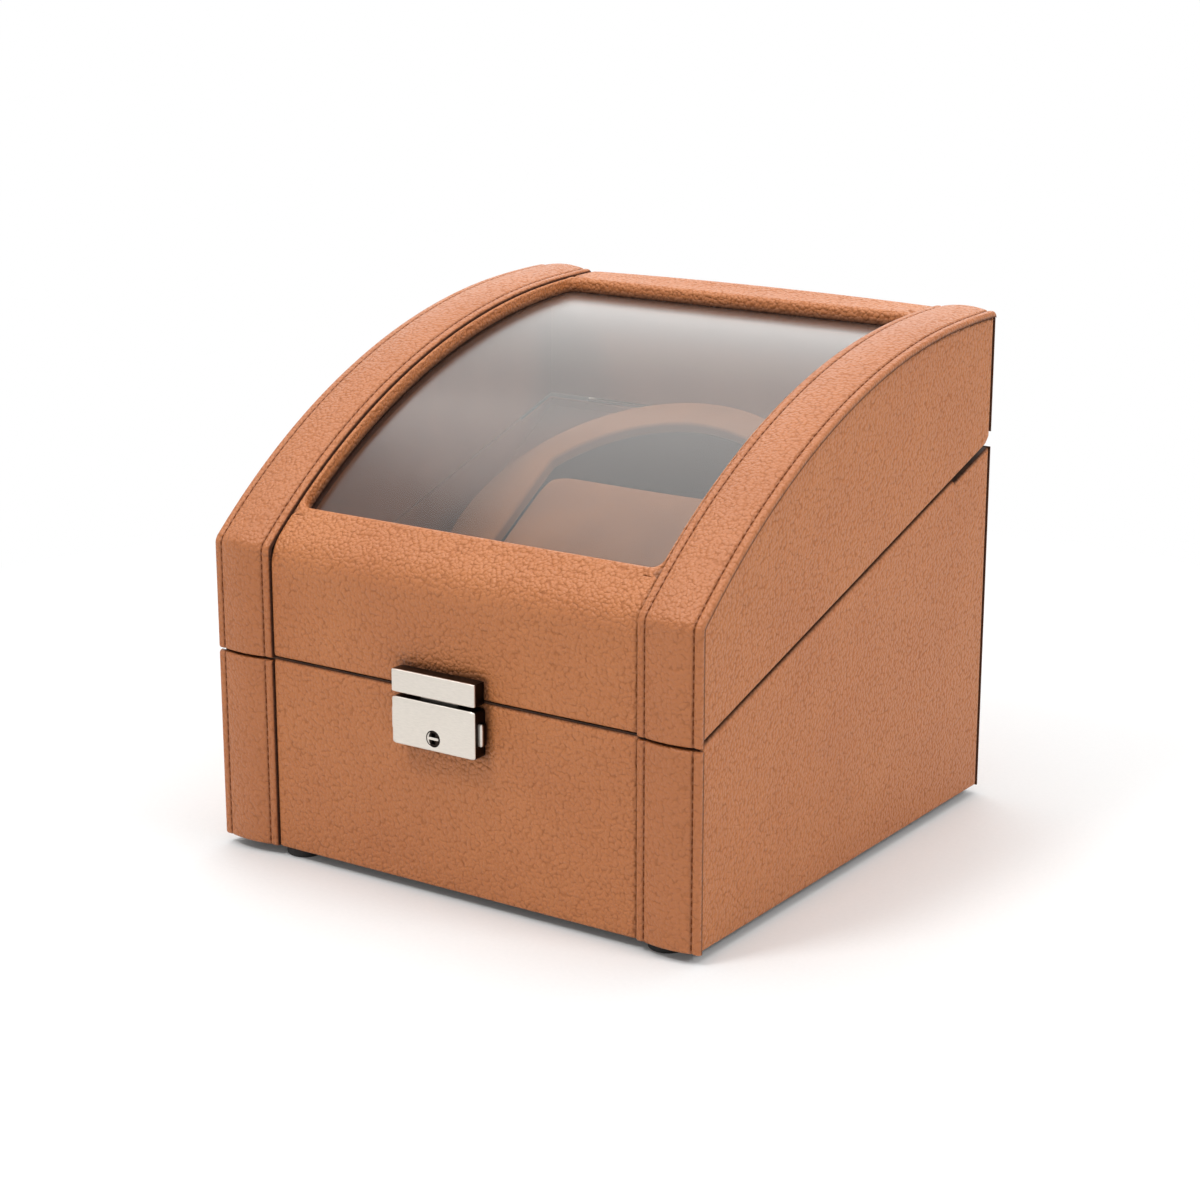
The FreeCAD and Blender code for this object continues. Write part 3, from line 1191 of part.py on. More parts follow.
def make_drive():
    body = new_body("drive_gear", ROTOR_FRAME)
    make_gear(body, "gear_teeth", "shaft_radius", "0 deg")

    body = new_body("motor_pinion", MOTOR_FRAME)
    make_gear(body, "pinion_teeth", None, "180 deg / pinion_teeth")
    disc_z(body, f"-{SHAFT_END}", f"-{GEAR_UNDER}", "motor_shaft_radius")

    body = new_body("gear_motor", MOTOR_FRAME)
    pad_z(body, f"-{GEARBOX_UNDER}", f"-{LOWER_UNDER}", rectangle(
        "-motor_width / 2", "-motor_height / 2", "motor_width / 2", "motor_height / 2"))
    disc_z(body, f"-{GEARBOX_UNDER} - can_length", f"-{GEARBOX_UNDER}", "motor_height / 2")
    bore_z(body, f"-{SHAFT_END} - axial_gap", f"-{LOWER_UNDER}",
           "motor_shaft_radius + running_clearance")

    body = new_body("shaft_bushes", ROTOR_FRAME)
    disc_z(body, f"-{PLATE_TOP}", f"-{BUSH_TOP}", "bush_flange")
    disc_z(body, f"-{PLATE_UNDER}", f"-{PLATE_TOP}", "bush_radius")
    disc_z(body, f"-{LOWER_UNDER}", f"-{LOWER_TOP}", "bush_radius")
    disc_z(body, f"-{LOWER_UNDER} - bush_rim", f"-{LOWER_UNDER}", "bush_flange")
    bore_z(body, f"-{LOWER_UNDER} - bush_rim", f"-{BUSH_TOP}",
           "shaft_radius + running_clearance")

    make_frame()


def plate_place(u, depth):
    """A point of the rotor frame's side view in the part's frame."""
    return (f"(rotor_back + ({u}) * cos(rotor_tilt) + ({depth}) * sin(rotor_tilt))",
            f"(rotor_rise + ({u}) * sin(rotor_tilt) - ({depth}) * cos(rotor_tilt))")


CHEEK_FRONT = plate_place("-frame_half_height", PLATE_TOP)[0]
CHEEK_REAR = plate_place("frame_half_height", LOWER_UNDER)[0]


def make_frame():
    """The moulded frame: two plates between two cheeks that stand on the floor."""
    body = new_body("mechanism_frame", ROTOR_FRAME)
    inner = "(frame_half_width - plate_thickness)"
    for top, under in ((PLATE_TOP, PLATE_UNDER), (LOWER_TOP, LOWER_UNDER)):
        pad_x(body, f"-{inner}", inner, rectangle(
            "-frame_half_height", f"-{under}", "frame_half_height", f"-{top}"))
    rear = f"({CHEEK_REAR} + frame_flare)"
    cheek = [
        ("-frame_half_height", f"-{PLATE_TOP}"), ("frame_half_height", f"-{PLATE_TOP}"),
        ("frame_half_height", f"-{LOWER_UNDER}"), in_slope(rear, FLOOR_TOP),
        in_slope(CHEEK_FRONT, FLOOR_TOP)]
    tab = [
        in_slope(CHEEK_FRONT, FLOOR_TOP), in_slope(rear, FLOOR_TOP),
        in_slope(rear, f"{FLOOR_TOP} + plate_thickness"),
        in_slope(CHEEK_FRONT, f"{FLOOR_TOP} + plate_thickness")]
    for side in ("left", "right"):
        if side == "right":
            pad_x(body, inner, "frame_half_width", cheek)
            pad_x(body, "frame_half_width", "frame_half_width + tab_width", tab)
        else:
            pad_x(body, "-frame_half_width", f"-{inner}", cheek)
            pad_x(body, "-frame_half_width - tab_width", "-frame_half_width", tab)
    bore_z(body, f"-{LOWER_UNDER}", f"-{PLATE_TOP}", "bush_radius")
    bore_z(body, f"-{LOWER_UNDER}", f"-{LOWER_TOP}", "motor_shaft_radius + frame_hole_gap",
           CENTRE_DISTANCE, "0")

    body = new_body("frame_screws")
    for sign in (-1, 1):
        for y in (f"({CHEEK_FRONT} + tab_width / 2)", f"({rear} - tab_width / 2)"):
            x = f"{sign} * (frame_half_width + tab_width / 2)"
            disc_z(body, f"{FLOOR_BOTTOM} + screw_tip", f"{FLOOR_TOP} + plate_thickness",
                   "wood_screw_radius", x, y)
            disc_z(body, f"{FLOOR_TOP} + plate_thickness",
                   f"{FLOOR_TOP} + plate_thickness + wood_screw_head",
                   "wood_screw_radius * 2", x, y)


# Electrics: control board on the floor, power inlet and switch in the back wall

def make_electrics():
    body = new_body("control_board")
    board_low = f"({FLOOR_TOP} + standoff_height)"
    board_high = f"({board_low} + circuit_thickness)"
    left = "(-circuit_shift - circuit_width / 2)"
    right = "(-circuit_shift + circuit_width / 2)"
    front = f"({INNER_FRONT} + circuit_setback)"
    back = f"({front} + circuit_depth)"
    pad_z(body, board_low, board_high, rectangle(left, front, right, back))
    pad_z(body, board_high, f"{board_high} + plug_height", rectangle(
        f"{left} + standoff_inset * 2", f"{back} - plug_depth",
        f"{right} - standoff_inset * 2", back))
    pad_z(body, board_high, f"{board_high} + chip_height", rectangle(
        "-circuit_shift - chip_width / 2", f"{front} + standoff_inset * 2",
        "-circuit_shift + chip_width / 2", f"{front} + standoff_inset * 2 + chip_width"))

    body = new_body("board_standoffs")
    for x in (f"{left} + standoff_inset", f"{right} - standoff_inset"):
        for y in (f"{front} + standoff_inset", f"{back} - standoff_inset"):
            disc_z(body, FLOOR_TOP, board_low, "standoff_radius", x, y)

    body = new_body("power_socket")
    disc_y(body, BACK_FACE, f"{BACK_FACE} + socket_rim", "socket_flange", SOCKET_X,
           "socket_height")
    disc_y(body, f"{INNER_BACK} - socket_length", BACK_FACE, "socket_radius", SOCKET_X,
           "socket_height")
    bore_y(body, f"{INNER_BACK} - socket_length + socket_rim", f"{BACK_FACE} + socket_rim",
           "socket_bore", SOCKET_X, "socket_height")
    disc_y(body, f"{INNER_BACK} - socket_length", BACK_FACE, "socket_pin", SOCKET_X,
           "socket_height")

    body = new_body("socket_nut")
    nut = []
    for corner in range(6):
        nut.append((f"{SOCKET_X} + socket_flange * cos({60 * corner} deg)",
                    f"socket_height + socket_flange * sin({60 * corner} deg)"))
    block_y(body, f"{INNER_BACK} - nut_thickness", INNER_BACK, nut)
    bore_y(body, f"{INNER_BACK} - nut_thickness", INNER_BACK, "socket_radius", SOCKET_X,
           "socket_height")

    make_switch()


ROCKER_PIVOT = f"({BACK_FACE} - rocker_sink)"
SWITCH_FACE = f"({BACK_FACE} + switch_rim)"
WELL_WIDTH = "(switch_width / 2 - switch_rim)"
WELL_HEIGHT = "(switch_height / 2 - switch_rim)"


def make_switch():
    body = new_body("switch_housing")
    block_y(body, BACK_FACE, SWITCH_FACE, rectangle(
        f"{SWITCH_X} - switch_width / 2 - switch_rim",
        "socket_height - switch_height / 2 - switch_rim",
        f"{SWITCH_X} + switch_width / 2 + switch_rim",
        "socket_height + switch_height / 2 + switch_rim"))
    block_y(body, f"{BACK_FACE} - switch_depth", BACK_FACE, rectangle(
        f"{SWITCH_X} - switch_width / 2", "socket_height - switch_height / 2",
        f"{SWITCH_X} + switch_width / 2", "socket_height + switch_height / 2"))
    cut_y(body, f"{ROCKER_PIVOT} - rocker_well", SWITCH_FACE, rectangle(
        f"{SWITCH_X} - {WELL_WIDTH}", f"socket_height - {WELL_HEIGHT}",
        f"{SWITCH_X} + {WELL_WIDTH}", f"socket_height + {WELL_HEIGHT}"))
    bore_z(body, "socket_height - switch_height / 2 + pivot_wall",
           "socket_height + switch_height / 2 - pivot_wall",
           "pivot_radius + running_clearance", SWITCH_X, ROCKER_PIVOT)
    for sign in (-1, 1):
        x = f"{SWITCH_X} + {sign} * switch_width / 4"
        block_y(body, f"{BACK_FACE} - switch_depth - blade_length",
                f"{BACK_FACE} - switch_depth", rectangle(
            f"{x} - blade_thickness / 2", "socket_height - blade_width / 2",
            f"{x} + blade_thickness / 2", "socket_height + blade_width / 2"))

    body = new_body("switch_rocker")
    half = f"({WELL_WIDTH} - rocker_gap)"
    tall = f"({WELL_HEIGHT} - slip)"
    pad_z(body, f"socket_height - {tall}", f"socket_height + {tall}", [
        (f"{SWITCH_X} - {half}", f"{SWITCH_FACE} - rocker_dip"),
        (f"{SWITCH_X} - rocker_heel", f"{ROCKER_PIVOT} - rocker_heel"),
        (f"{SWITCH_X} + rocker_heel", f"{ROCKER_PIVOT} - rocker_heel"),
        (f"{SWITCH_X} + {half}", f"{SWITCH_FACE} - rocker_dip"),
        (f"{SWITCH_X} + {half}", f"{SWITCH_FACE} + rocker_dip"),
        (SWITCH_X, SWITCH_FACE),
        (f"{SWITCH_X} - {half}", f"{SWITCH_FACE} + rocker_dip")])
    disc_z(body, "socket_height - switch_height / 2 + pivot_wall + slip",
           "socket_height + switch_height / 2 - pivot_wall - slip",
           "pivot_radius", SWITCH_X, ROCKER_PIVOT)


make_base_box()
make_base_leather()
make_feet()
make_deck()
make_base_lining()
make_lid_boards()
make_lid_leather()
make_window()
make_lid_lining()
make_hinges()
make_lock()
make_rotor()
make_cushion()
make_drive()
make_electrics()
document.recompute()

# Checks before anything is written

for thing in document.Objects:
    if {"Invalid", "Error"} & set(thing.State):
        raise RuntimeError(f"{thing.Label} is not valid: {thing.State}")
for piece in pieces:
    if piece.Shape.isNull() or not piece.Shape.isValid() or not piece.Shape.Solids:
        raise RuntimeError(f"{piece.Label} has no valid solid")

os.makedirs("parts", exist_ok=True)
for piece in pieces:
    piece.Shape.exportStep(f"parts/{piece.Label}.step")
print(len(pieces), "pieces")
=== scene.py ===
# %% [markdown]
# # A watch winder in tan leather
#
# The object is a small box covered in pebbled tan leather, with a curved acrylic window in
# its lid. Inside it a motor turns a drum that carries a suede cushion. The solids that were
# built for it come in as the frame, and this lesson dresses them: each leather panel, strap,
# seam and metal face is worked out here as a surface, and each finish as a node material.
#
# Lengths are written in millimetres and turned into metres where a mesh is made. X runs to
# the right, Y to the back and Z up, with the origin on the table under the box's middle.

# %% Load the frame
import json
import math

import bpy
import numpy as np
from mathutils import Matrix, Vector


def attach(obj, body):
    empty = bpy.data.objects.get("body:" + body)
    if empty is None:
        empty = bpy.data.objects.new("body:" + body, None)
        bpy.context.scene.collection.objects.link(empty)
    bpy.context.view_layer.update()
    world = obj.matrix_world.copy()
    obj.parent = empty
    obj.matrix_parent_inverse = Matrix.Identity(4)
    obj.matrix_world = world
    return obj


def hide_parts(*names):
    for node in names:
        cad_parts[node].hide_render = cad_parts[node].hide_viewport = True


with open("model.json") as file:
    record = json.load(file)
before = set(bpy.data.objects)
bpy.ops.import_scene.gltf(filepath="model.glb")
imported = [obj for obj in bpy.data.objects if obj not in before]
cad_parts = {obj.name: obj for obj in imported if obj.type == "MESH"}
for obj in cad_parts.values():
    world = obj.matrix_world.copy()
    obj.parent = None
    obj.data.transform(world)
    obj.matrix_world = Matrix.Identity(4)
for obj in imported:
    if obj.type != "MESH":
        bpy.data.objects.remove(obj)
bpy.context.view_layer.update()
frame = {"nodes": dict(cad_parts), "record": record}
nodes = frame["nodes"]

# %% [markdown]
# ## Camera
#
# The box is looked at from the right of its front and a little from above. The place and the
# direction were fitted to the box's corners. A long lens keeps the upright edges nearly
# parallel.

# %% Camera
camera = bpy.data.objects.new("camera", bpy.data.cameras.new("camera"))
bpy.context.scene.collection.objects.link(camera)
camera.location = (0.47154, -0.70020, 0.31113)
camera.rotation_euler = Vector((0.54145, -0.79622, 0.26987)).to_track_quat("Z", "Y").to_euler()
camera.data.lens = 81.34
camera.data.sensor_width = 36
bpy.context.scene.camera = camera
print("camera", round(camera.location.length, 3), "m from the origin")

# %% [markdown]
# ## The box's main lines
#
# The sides of the box are flat, so its shape is told by one side view. The lid's top is two
# arcs that meet with a common tangent: a steep one in front and a flat one behind it. The
# parting plane between base and lid rises to the back. Every panel below is carried along
# these lines, so they come first, as functions of y.

# %% The lid's curve and the parting plane
FRONT, BACK, HALF = -90.0, 90.0, 90.0
STRAP_IN = 68.2          # inner edge of the corner straps
SIDE = 89.2              # face of the side leather
COVER = 1.8              # how far the leather between the straps lies below them
UNDER = 3.0              # the boards' face below the straps
FOOT = 3.0               # height of the leather's lower edge
GAP = 0.4                # half of the gap at the parting
REAR_RADIUS, FRONT_RADIUS = 360.0, 244.8
REAR_CENTRE = np.array([83.2, 166.1 - REAR_RADIUS])
JOIN = math.radians(3.9)
FRONT_CENTRE = REAR_CENTRE + (REAR_RADIUS - FRONT_RADIUS) * np.array(
    [-math.sin(JOIN), math.cos(JOIN)])


def seam(y):
    """Height of the parting plane: it rises evenly from 65 in front to 122 at the back."""
    return 65 + (np.asarray(y) + 90) * 57 / 180


def lid_top(y, inset=0.0):
    """Height of the lid's curve, moved in by inset: the arc's centre plus the circle's
    height over it, with the steep arc in front of the join and the flat one behind."""
    y = np.asarray(y, float)
    join = REAR_CENTRE[0] - (REAR_RADIUS - inset) * math.sin(JOIN)
    steep = FRONT_CENTRE[1] + np.sqrt(
        np.maximum((FRONT_RADIUS - inset) ** 2 - (y - FRONT_CENTRE[0]) ** 2, 0))
    flat = REAR_CENTRE[1] + np.sqrt((REAR_RADIUS - inset) ** 2 - (y - REAR_CENTRE[0]) ** 2)
    return np.where(y < join, steep, flat)


print("the lid's curve is", round(float(lid_top(90)), 1), "mm high at the back")

# %% [markdown]
# ## A path over the lid
#
# Straps and panels run up the front, round a bend and over the curve. Leather bends, it
# doesn't stretch, so the natural measure is the length along the path. A path is kept as
# many close points with the direction in which its face looks, and any place on it is read
# by its length from the lower end.


# %% Paths in the side view
class Path:
    """Points of a side view with the length up to each and the way the face looks there."""

    def __init__(self, points):
        points = np.asarray(points, float)
        step = np.hypot(*np.diff(points, axis=0).T)
        keep = np.concatenate([[True], step > 1e-6])
        self.points = points[keep]
        self.s = np.concatenate([[0], np.cumsum(np.hypot(*np.diff(self.points, axis=0).T))])
        tangent = np.gradient(self.points, self.s, axis=0)
        tangent /= np.hypot(*tangent.T)[:, None]
        self.normal = np.stack([-tangent[:, 1], tangent[:, 0]], 1)
        self.length = self.s[-1]

    def at(self, s, height=0.0):
        """Y and Z at length s, height above the face: point plus height times normal."""
        s = np.asarray(s, float)
        y, z = (np.interp(s, self.s, self.points[:, k]) for k in (0, 1))
        ny, nz = (np.interp(s, self.s, self.normal[:, k]) for k in (0, 1))
        size = np.hypot(ny, nz)
        return y + height * ny / size, z + height * nz / size

    def length_at(self, y):
        """Length from the lower end at which the path reaches y."""
        first = np.argmax(self.points[:, 0] > self.points[0, 0] + 1e-3)
        return float(np.interp(y, self.points[first:, 0], self.s[first:]))


def arc(centre, radius, start, stop, step=0.5):
    """Points on a circle from one angle to another, about step apart."""
    count = max(int(abs(stop - start) * radius / step), 4)
    t = np.linspace(start, stop, count)
    return np.asarray(centre) + radius * np.stack([np.cos(t), np.sin(t)], 1)


def over_lid(y_front, inset, bend, y_end):
    """The way up the front face at y_front, round a bend and over the curve to y_end.

    The bend is a circle that touches the upright line and lies inside the front arc: its
    centre is bend behind the line and (arc radius - bend) from the arc's centre."""
    low = float(seam(y_front) + GAP)
    outer = FRONT_RADIUS - inset
    cy = y_front + bend
    cz = FRONT_CENTRE[1] + math.sqrt((outer - bend) ** 2 - (cy - FRONT_CENTRE[0]) ** 2)
    leave = math.atan2(cz - FRONT_CENTRE[1], cy - FRONT_CENTRE[0])
    upright = np.stack([np.full(60, y_front), np.linspace(low, cz, 60)], 1)
    corner = arc((cy, cz), bend, math.pi, leave, 0.25)
    join = math.pi / 2 + JOIN
    steep = arc(FRONT_CENTRE, outer, leave, join)
    last = math.acos((y_end - REAR_CENTRE[0]) / (REAR_RADIUS - inset))
    flat = arc(REAR_CENTRE, REAR_RADIUS - inset, join, last)
    return Path(np.concatenate([upright, corner, steep, flat]))


strap_path = over_lid(FRONT, 0.0, 5.0, 88.5)
cover_path = over_lid(FRONT + COVER, COVER, 14.0, 88.5)
print("a strap runs", round(strap_path.length), "mm over the lid")

# %% [markdown]
# ## From arrays to a mesh
#
# Nearly all pieces are a grid of points. Two kinds are enough: a *skin*, whose outer and
# inner grids are joined round their edges to a closed shell of some thickness, and a *tube*,
# whose rows close on themselves. Both are turned into a mesh with foreach_set, and edges
# sharper than 40 degrees stay sharp, so rounded ones look round.


# %% Mesh makers
def faces_out(points, quads):
    """The faces, turned round where the volume that they enclose comes out negative: the
    sum over all faces of the little pyramids that each makes with the middle."""
    a, b, c, d = (points[quads[:, k]] - points.mean(0) for k in range(4))
    volume = (np.cross(b, c) * a).sum() + (np.cross(c, d) * a).sum()
    return quads if volume > 0 else quads[:, ::-1]


def add_mesh(name, points, quads, body, slot=None, material=None, painted_shade=None):
    """A mesh object from points in millimetres and faces of four corners, riding on body.

    Quads whose corners coincide become triangles, so that poles and seams are closed. The
    painted shade says for each point how much shade is painted on it, as in a fold or a
    recess, from 0 to 1, and is kept as an attribute that the finishes read."""
    points = np.asarray(points, float).reshape(-1, 3)
    quads = faces_out(points, np.asarray(quads, np.int64).reshape(-1, 4))
    _, first, same = np.unique(np.round(points, 4), axis=0, return_index=True,
                               return_inverse=True)
    points, quads = points[first], same.reshape(-1)[quads]
    after = np.roll(quads, -1, 1)
    fresh = quads != after
    quads, fresh = quads[fresh.sum(1) > 2], fresh[fresh.sum(1) > 2]
    counts = fresh.sum(1)
    mesh = bpy.data.meshes.new(name)
    mesh.vertices.add(len(points))
    mesh.vertices.foreach_set("co", (points * 0.001).astype(np.float32).ravel())
    mesh.loops.add(int(counts.sum()))
    mesh.loops.foreach_set("vertex_index", quads[fresh].astype(np.int32))
    mesh.polygons.add(len(quads))
    starts = np.concatenate([[0], np.cumsum(counts)[:-1]])
    mesh.polygons.foreach_set("loop_start", starts.astype(np.int32))
    mesh.polygons.foreach_set("use_smooth", np.ones(len(quads), bool))
    mesh.update(calc_edges=True)
    mesh.validate()
    mesh.set_sharp_from_angle(angle=math.radians(40))
    if painted_shade is not None:
        layer = mesh.attributes.new("painted_shade", "FLOAT", "POINT")
        layer.data.foreach_set("value", np.ravel(painted_shade)[first].astype(np.float32))
    piece = bpy.data.objects.new(name, mesh)
    bpy.context.scene.collection.objects.link(piece)
    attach(piece, body)
    if material:
        mesh.materials.append(material)
    print(name, len(points), "points,", len(quads), "faces")
    return piece


def grid_quads(rows, columns, close_rows=False, close_columns=False):
    """Corner numbers of the faces between neighbouring points of a grid."""
    index = np.arange(rows * columns).reshape(rows, columns)
    if close_rows:
        index = np.vstack([index, index[:1]])
    if close_columns:
        index = np.hstack([index, index[:, :1]])
    return np.stack([index[:-1, :-1], index[1:, :-1], index[1:, 1:], index[:-1, 1:]],
                    -1).reshape(-1, 4)


def skin(outer, inner, keep=None):
    """A closed shell from two grids: the outer faces, the inner ones turned round, and a
    wall along every edge where a kept cell has no kept neighbour."""
    rows, columns = outer.shape[:2]
    keep = np.ones((rows - 1, columns - 1), bool) if keep is None else keep
    count = rows * columns
    faces = grid_quads(rows, columns).reshape(rows - 1, columns - 1, 4)
    padded_keep = np.pad(keep, 1)
    walls = []
    for (dr, dc), (a, b) in {(-1, 0): (0, 3), (1, 0): (2, 1), (0, -1): (1, 0),
                             (0, 1): (3, 2)}.items():
        bare = ~padded_keep[1 + dr:rows + dr, 1 + dc:columns + dc] & keep
        start, stop = faces[bare][:, a], faces[bare][:, b]
        walls.append(np.stack([stop, start, start + count, stop + count], 1)[:, ::-1])
    quads = np.concatenate([faces[keep], faces[keep][:, ::-1] + count] + walls)
    return np.concatenate([outer.reshape(-1, 3), inner.reshape(-1, 3)]), quads


def painted_shade_with_underside(painted_shade):
    """The painted shade of a skin's outer grid, and full painted shade for all of its
    underside.
    """
    return np.concatenate([np.ravel(painted_shade), np.ones(np.size(painted_shade))])


def near_edge(distance, reach):
    """Painted shade that is full at an edge and gone at some reach from it, evenly."""
    return np.clip(1 - np.asarray(distance, float) / reach, 0, 1)


def round_over(distance, radius):
    """How far a rounded edge lies below the face at a distance from it: nothing beyond the
    radius, and nearer to it the sagitta of a quarter circle."""
    short = np.clip(radius - np.asarray(distance, float), 0, radius)
    return radius - np.sqrt(radius ** 2 - short ** 2)


def stations(low, high, step, rounded=1.2):
    """Places from low to high about step apart, and closer where the edges are rounded."""
    ends = rounded * (1 - np.cos(np.linspace(0, math.pi / 2, 6)))
    middle = np.linspace(low + rounded, high - rounded,
                         max(int((high - low) / step), 2) + 1)
    return np.unique(np.round(np.concatenate([low + ends, middle, high - ends]), 5))


print("mesh makers ready")

# %% [markdown]
# ## Helpers for the finishes
#
# A finish is a small graph of nodes. Each helper adds a node or a few, with their inputs
# given as values or as links, so a finish reads like a formula: noise, spread over a range,
# turned into a colour or a bump. Textures are read at Object coordinates, so a pattern runs
# on over neighbouring pieces at the same size.


# %% Node helpers
def new_material(name):
    """An empty node material and its tree, with a Principled shader on the output."""
    material = bpy.data.materials.new(name)
    material.use_nodes = True
    tree = material.node_tree
    return material, tree, tree.nodes["Principled BSDF"]


def node(tree, kind, inputs=None, **settings):
    """A node with its settings, and with values or links for its inputs."""
    made = tree.nodes.new("ShaderNode" + kind)
    for key, setting in settings.items():
        setattr(made, key, setting)
    for key, given in (inputs or {}).items():
        if isinstance(given, bpy.types.NodeSocket):
            tree.links.new(given, made.inputs[key])
        else:
            made.inputs[key].default_value = given
    return made


def place(tree, scale=(1, 1, 1)):
    """Object coordinates, stretched."""
    object_place = node(tree, "TexCoord").outputs["Object"]
    return node(tree, "Mapping", {"Vector": object_place,
                                  "Scale": scale}).outputs["Vector"]


def noise(tree, where, scale, detail=3.0, roughness=0.5):
    """A noise texture's grey value."""
    return node(tree, "TexNoise", {"Vector": where, "Scale": scale, "Detail": detail,
                                   "Roughness": roughness}).outputs["Fac"]


def spread(tree, grey, low, high, to_low=0.0, to_high=1.0):
    """A grey value stretched from one range to another, and held at its ends."""
    return node(tree, "MapRange", {"Value": grey, "From Min": low, "From Max": high,
                                   "To Min": to_low, "To Max": to_high}).outputs["Result"]


def colours(tree, grey, stops):
    """A colour ramp through (place, colour) stops."""
    ramp = node(tree, "ValToRGB", {"Fac": grey})
    while len(ramp.color_ramp.elements) < len(stops):
        ramp.color_ramp.elements.new(0.5)
    for element, (spot, colour) in zip(ramp.color_ramp.elements, stops):
        element.position = spot
        element.color = (*colour, 1)
    return ramp.outputs["Color"]


def maths(tree, operation, first, second):
    """A sum, product or the like of two values."""
    return node(tree, "Math", {0: first, 1: second}, operation=operation).outputs[0]


def mix(tree, share, first, second, way="MIX"):
    """A colour that goes over to another by a share, or is multiplied by it."""
    return node(tree, "MixRGB", {"Fac": share, "Color1": first, "Color2": second},
                blend_type=way).outputs["Color"]


def bump(tree, shader, height, distance, strength=1.0, below=None):
    """A bump from a height, given in metres, put on a shader or stacked on another."""
    inputs = {"Height": height, "Distance": distance, "Strength": strength}
    if below:
        inputs["Normal"] = below
    made = node(tree, "Bump", inputs).outputs["Normal"]
    tree.links.new(made, shader.inputs["Normal"])
    return made


def sRGB(red, green, blue):
    """Linear values of a colour that is written in sRGB bytes, as pictures are."""
    def line(c):
        c = c / 255
        return c / 12.92 if c <= 0.04045 else ((c + 0.055) / 1.055) ** 2.4
    return line(red), line(green), line(blue)


def painted_shade_of(tree):
    """The piece's painted shade: nothing where it has none."""
    return node(tree, "Attribute", attribute_name="painted_shade").outputs["Fac"]


def with_painted_shade(tree, tint, dark, share=1.0):
    """A colour that goes over to a dark one by the painted shade: shade painted into the
    colour.
    """
    return mix(tree, maths(tree, "MULTIPLY", painted_shade_of(tree), share), tint, (*dark, 1))


def directly_seen(tree):
    """One for what the camera sees, also in mirrors and through clear sheets; nothing for
    the light that a surface gives to others."""
    rays = node(tree, "LightPath").outputs
    return maths(tree, "MAXIMUM", rays["Is Camera Ray"],
                 maths(tree, "MAXIMUM", rays["Is Glossy Ray"], rays["Is Transmission Ray"]))


print("finish helpers ready")

# %% [markdown]
# ## Leather
#
# The leather is a coated tan hide with a pebbled grain: small domes more than a millimetre
# across with fine valleys between them. A Voronoi texture gives just that: from the distance
# to its cells' middles comes a parabola over each cell, which is the dome. It drives the
# bump, and the valleys are duller and painted a little darker, as painted shade. A slow noise
# moves the colour, as dye does. Where leather is folded in or sewn down, the finish paints
# shade there and takes the shine away, so it also reads each point's painted shade.

# %% Pebbled leather
def pebbled(name, deep, mid, light, grain=840.0, depth=0.00042, gloss=0.36):
    """Leather whose domes are parabolas over the distance to a Voronoi cell's middle: one
    less the distance squared. A wandering offset bends the cells, a noise breaks the lines of
    painted shade between them, so they look like short creases, and painted shade darkens the
    folds and takes their shine away."""
    material, tree, shader = new_material(name)
    here = place(tree)
    wander = node(tree, "TexNoise", {"Vector": here, "Scale": 420.0, "Detail": 2.0})
    bent = node(tree, "VectorMath", {0: wander.outputs["Color"], "Scale": 0.0012},
                operation="SCALE").outputs[0]
    where = node(tree, "VectorMath", {0: here, 1: bent}, operation="ADD").outputs[0]
    cells = node(tree, "TexVoronoi", {"Vector": where, "Scale": grain})
    far = spread(tree, cells.outputs["Distance"], 0.0, 0.85)
    dome = maths(tree, "SUBTRACT", 1.0, maths(tree, "MULTIPLY", far, far))
    fine = noise(tree, here, 3600.0, 4.0)
    slow = noise(tree, here, 28.0, 3.0)
    tint = colours(tree, slow, [(0.3, mid), (0.7, light)])
    breaks = spread(tree, noise(tree, here, 520.0, 2.0), 0.38, 0.62, 0.2, 0.62)
    # painted shade: the valleys between the domes go over to the deep colour
    line = maths(tree, "MULTIPLY", spread(tree, dome, 0.10, 0.55, 1.0, 0.0), breaks)
    tint = mix(tree, line, tint, (*deep, 1))
    # painted shade: folds, grooves and recesses go over to a near-black brown by their painted
    # shade
    tree.links.new(with_painted_shade(tree, tint, sRGB(44, 22, 12), 0.92), shader.inputs["Base Color"])
    rough = maths(tree, "ADD", spread(tree, dome, 0, 1, gloss + 0.25, gloss),
                  spread(tree, fine, 0.3, 0.7, -0.04, 0.06))
    tree.links.new(maths(tree, "MAXIMUM", rough, painted_shade_of(tree)),
                   shader.inputs["Roughness"])
    shader.inputs["Specular IOR Level"].default_value = 0.45
    domes = bump(tree, shader, dome, depth)
    bump(tree, shader, fine, 0.00003, 0.4, domes)
    return material


# the first colour of each leather is the painted shade in the valleys
tan_leather = pebbled("tan_leather", sRGB(162, 93, 48), sRGB(192, 117, 67),
                      sRGB(199, 124, 72))
strap_leather = pebbled("strap_leather", sRGB(160, 93, 49), sRGB(184, 111, 63),
                        sRGB(192, 118, 69), 900.0, 0.0003, 0.32)
print("leather", tan_leather.name, strap_leather.name)

# %% [markdown]
# ## Straps over the corners
#
# A strap runs up each front corner and over the lid. It's a folded band, sewn along both
# edges: the middle is slightly crowned, a shallow groove holds each row of stitches, and the
# folded edge outside it is flat and rounds down to the side. So its section is one height
# profile, and the strap is that profile carried along the path. The ends at the parting are
# rounded as well. Its painted shade is half deep in the grooves and full beside the panels.

# %% Strap section and strap
STRAP_WIDTH = HALF - STRAP_IN
ROW = 2.7                # from a strap's edges to its stitches
BAND_LOW = -2.3          # how far down the band's edges go


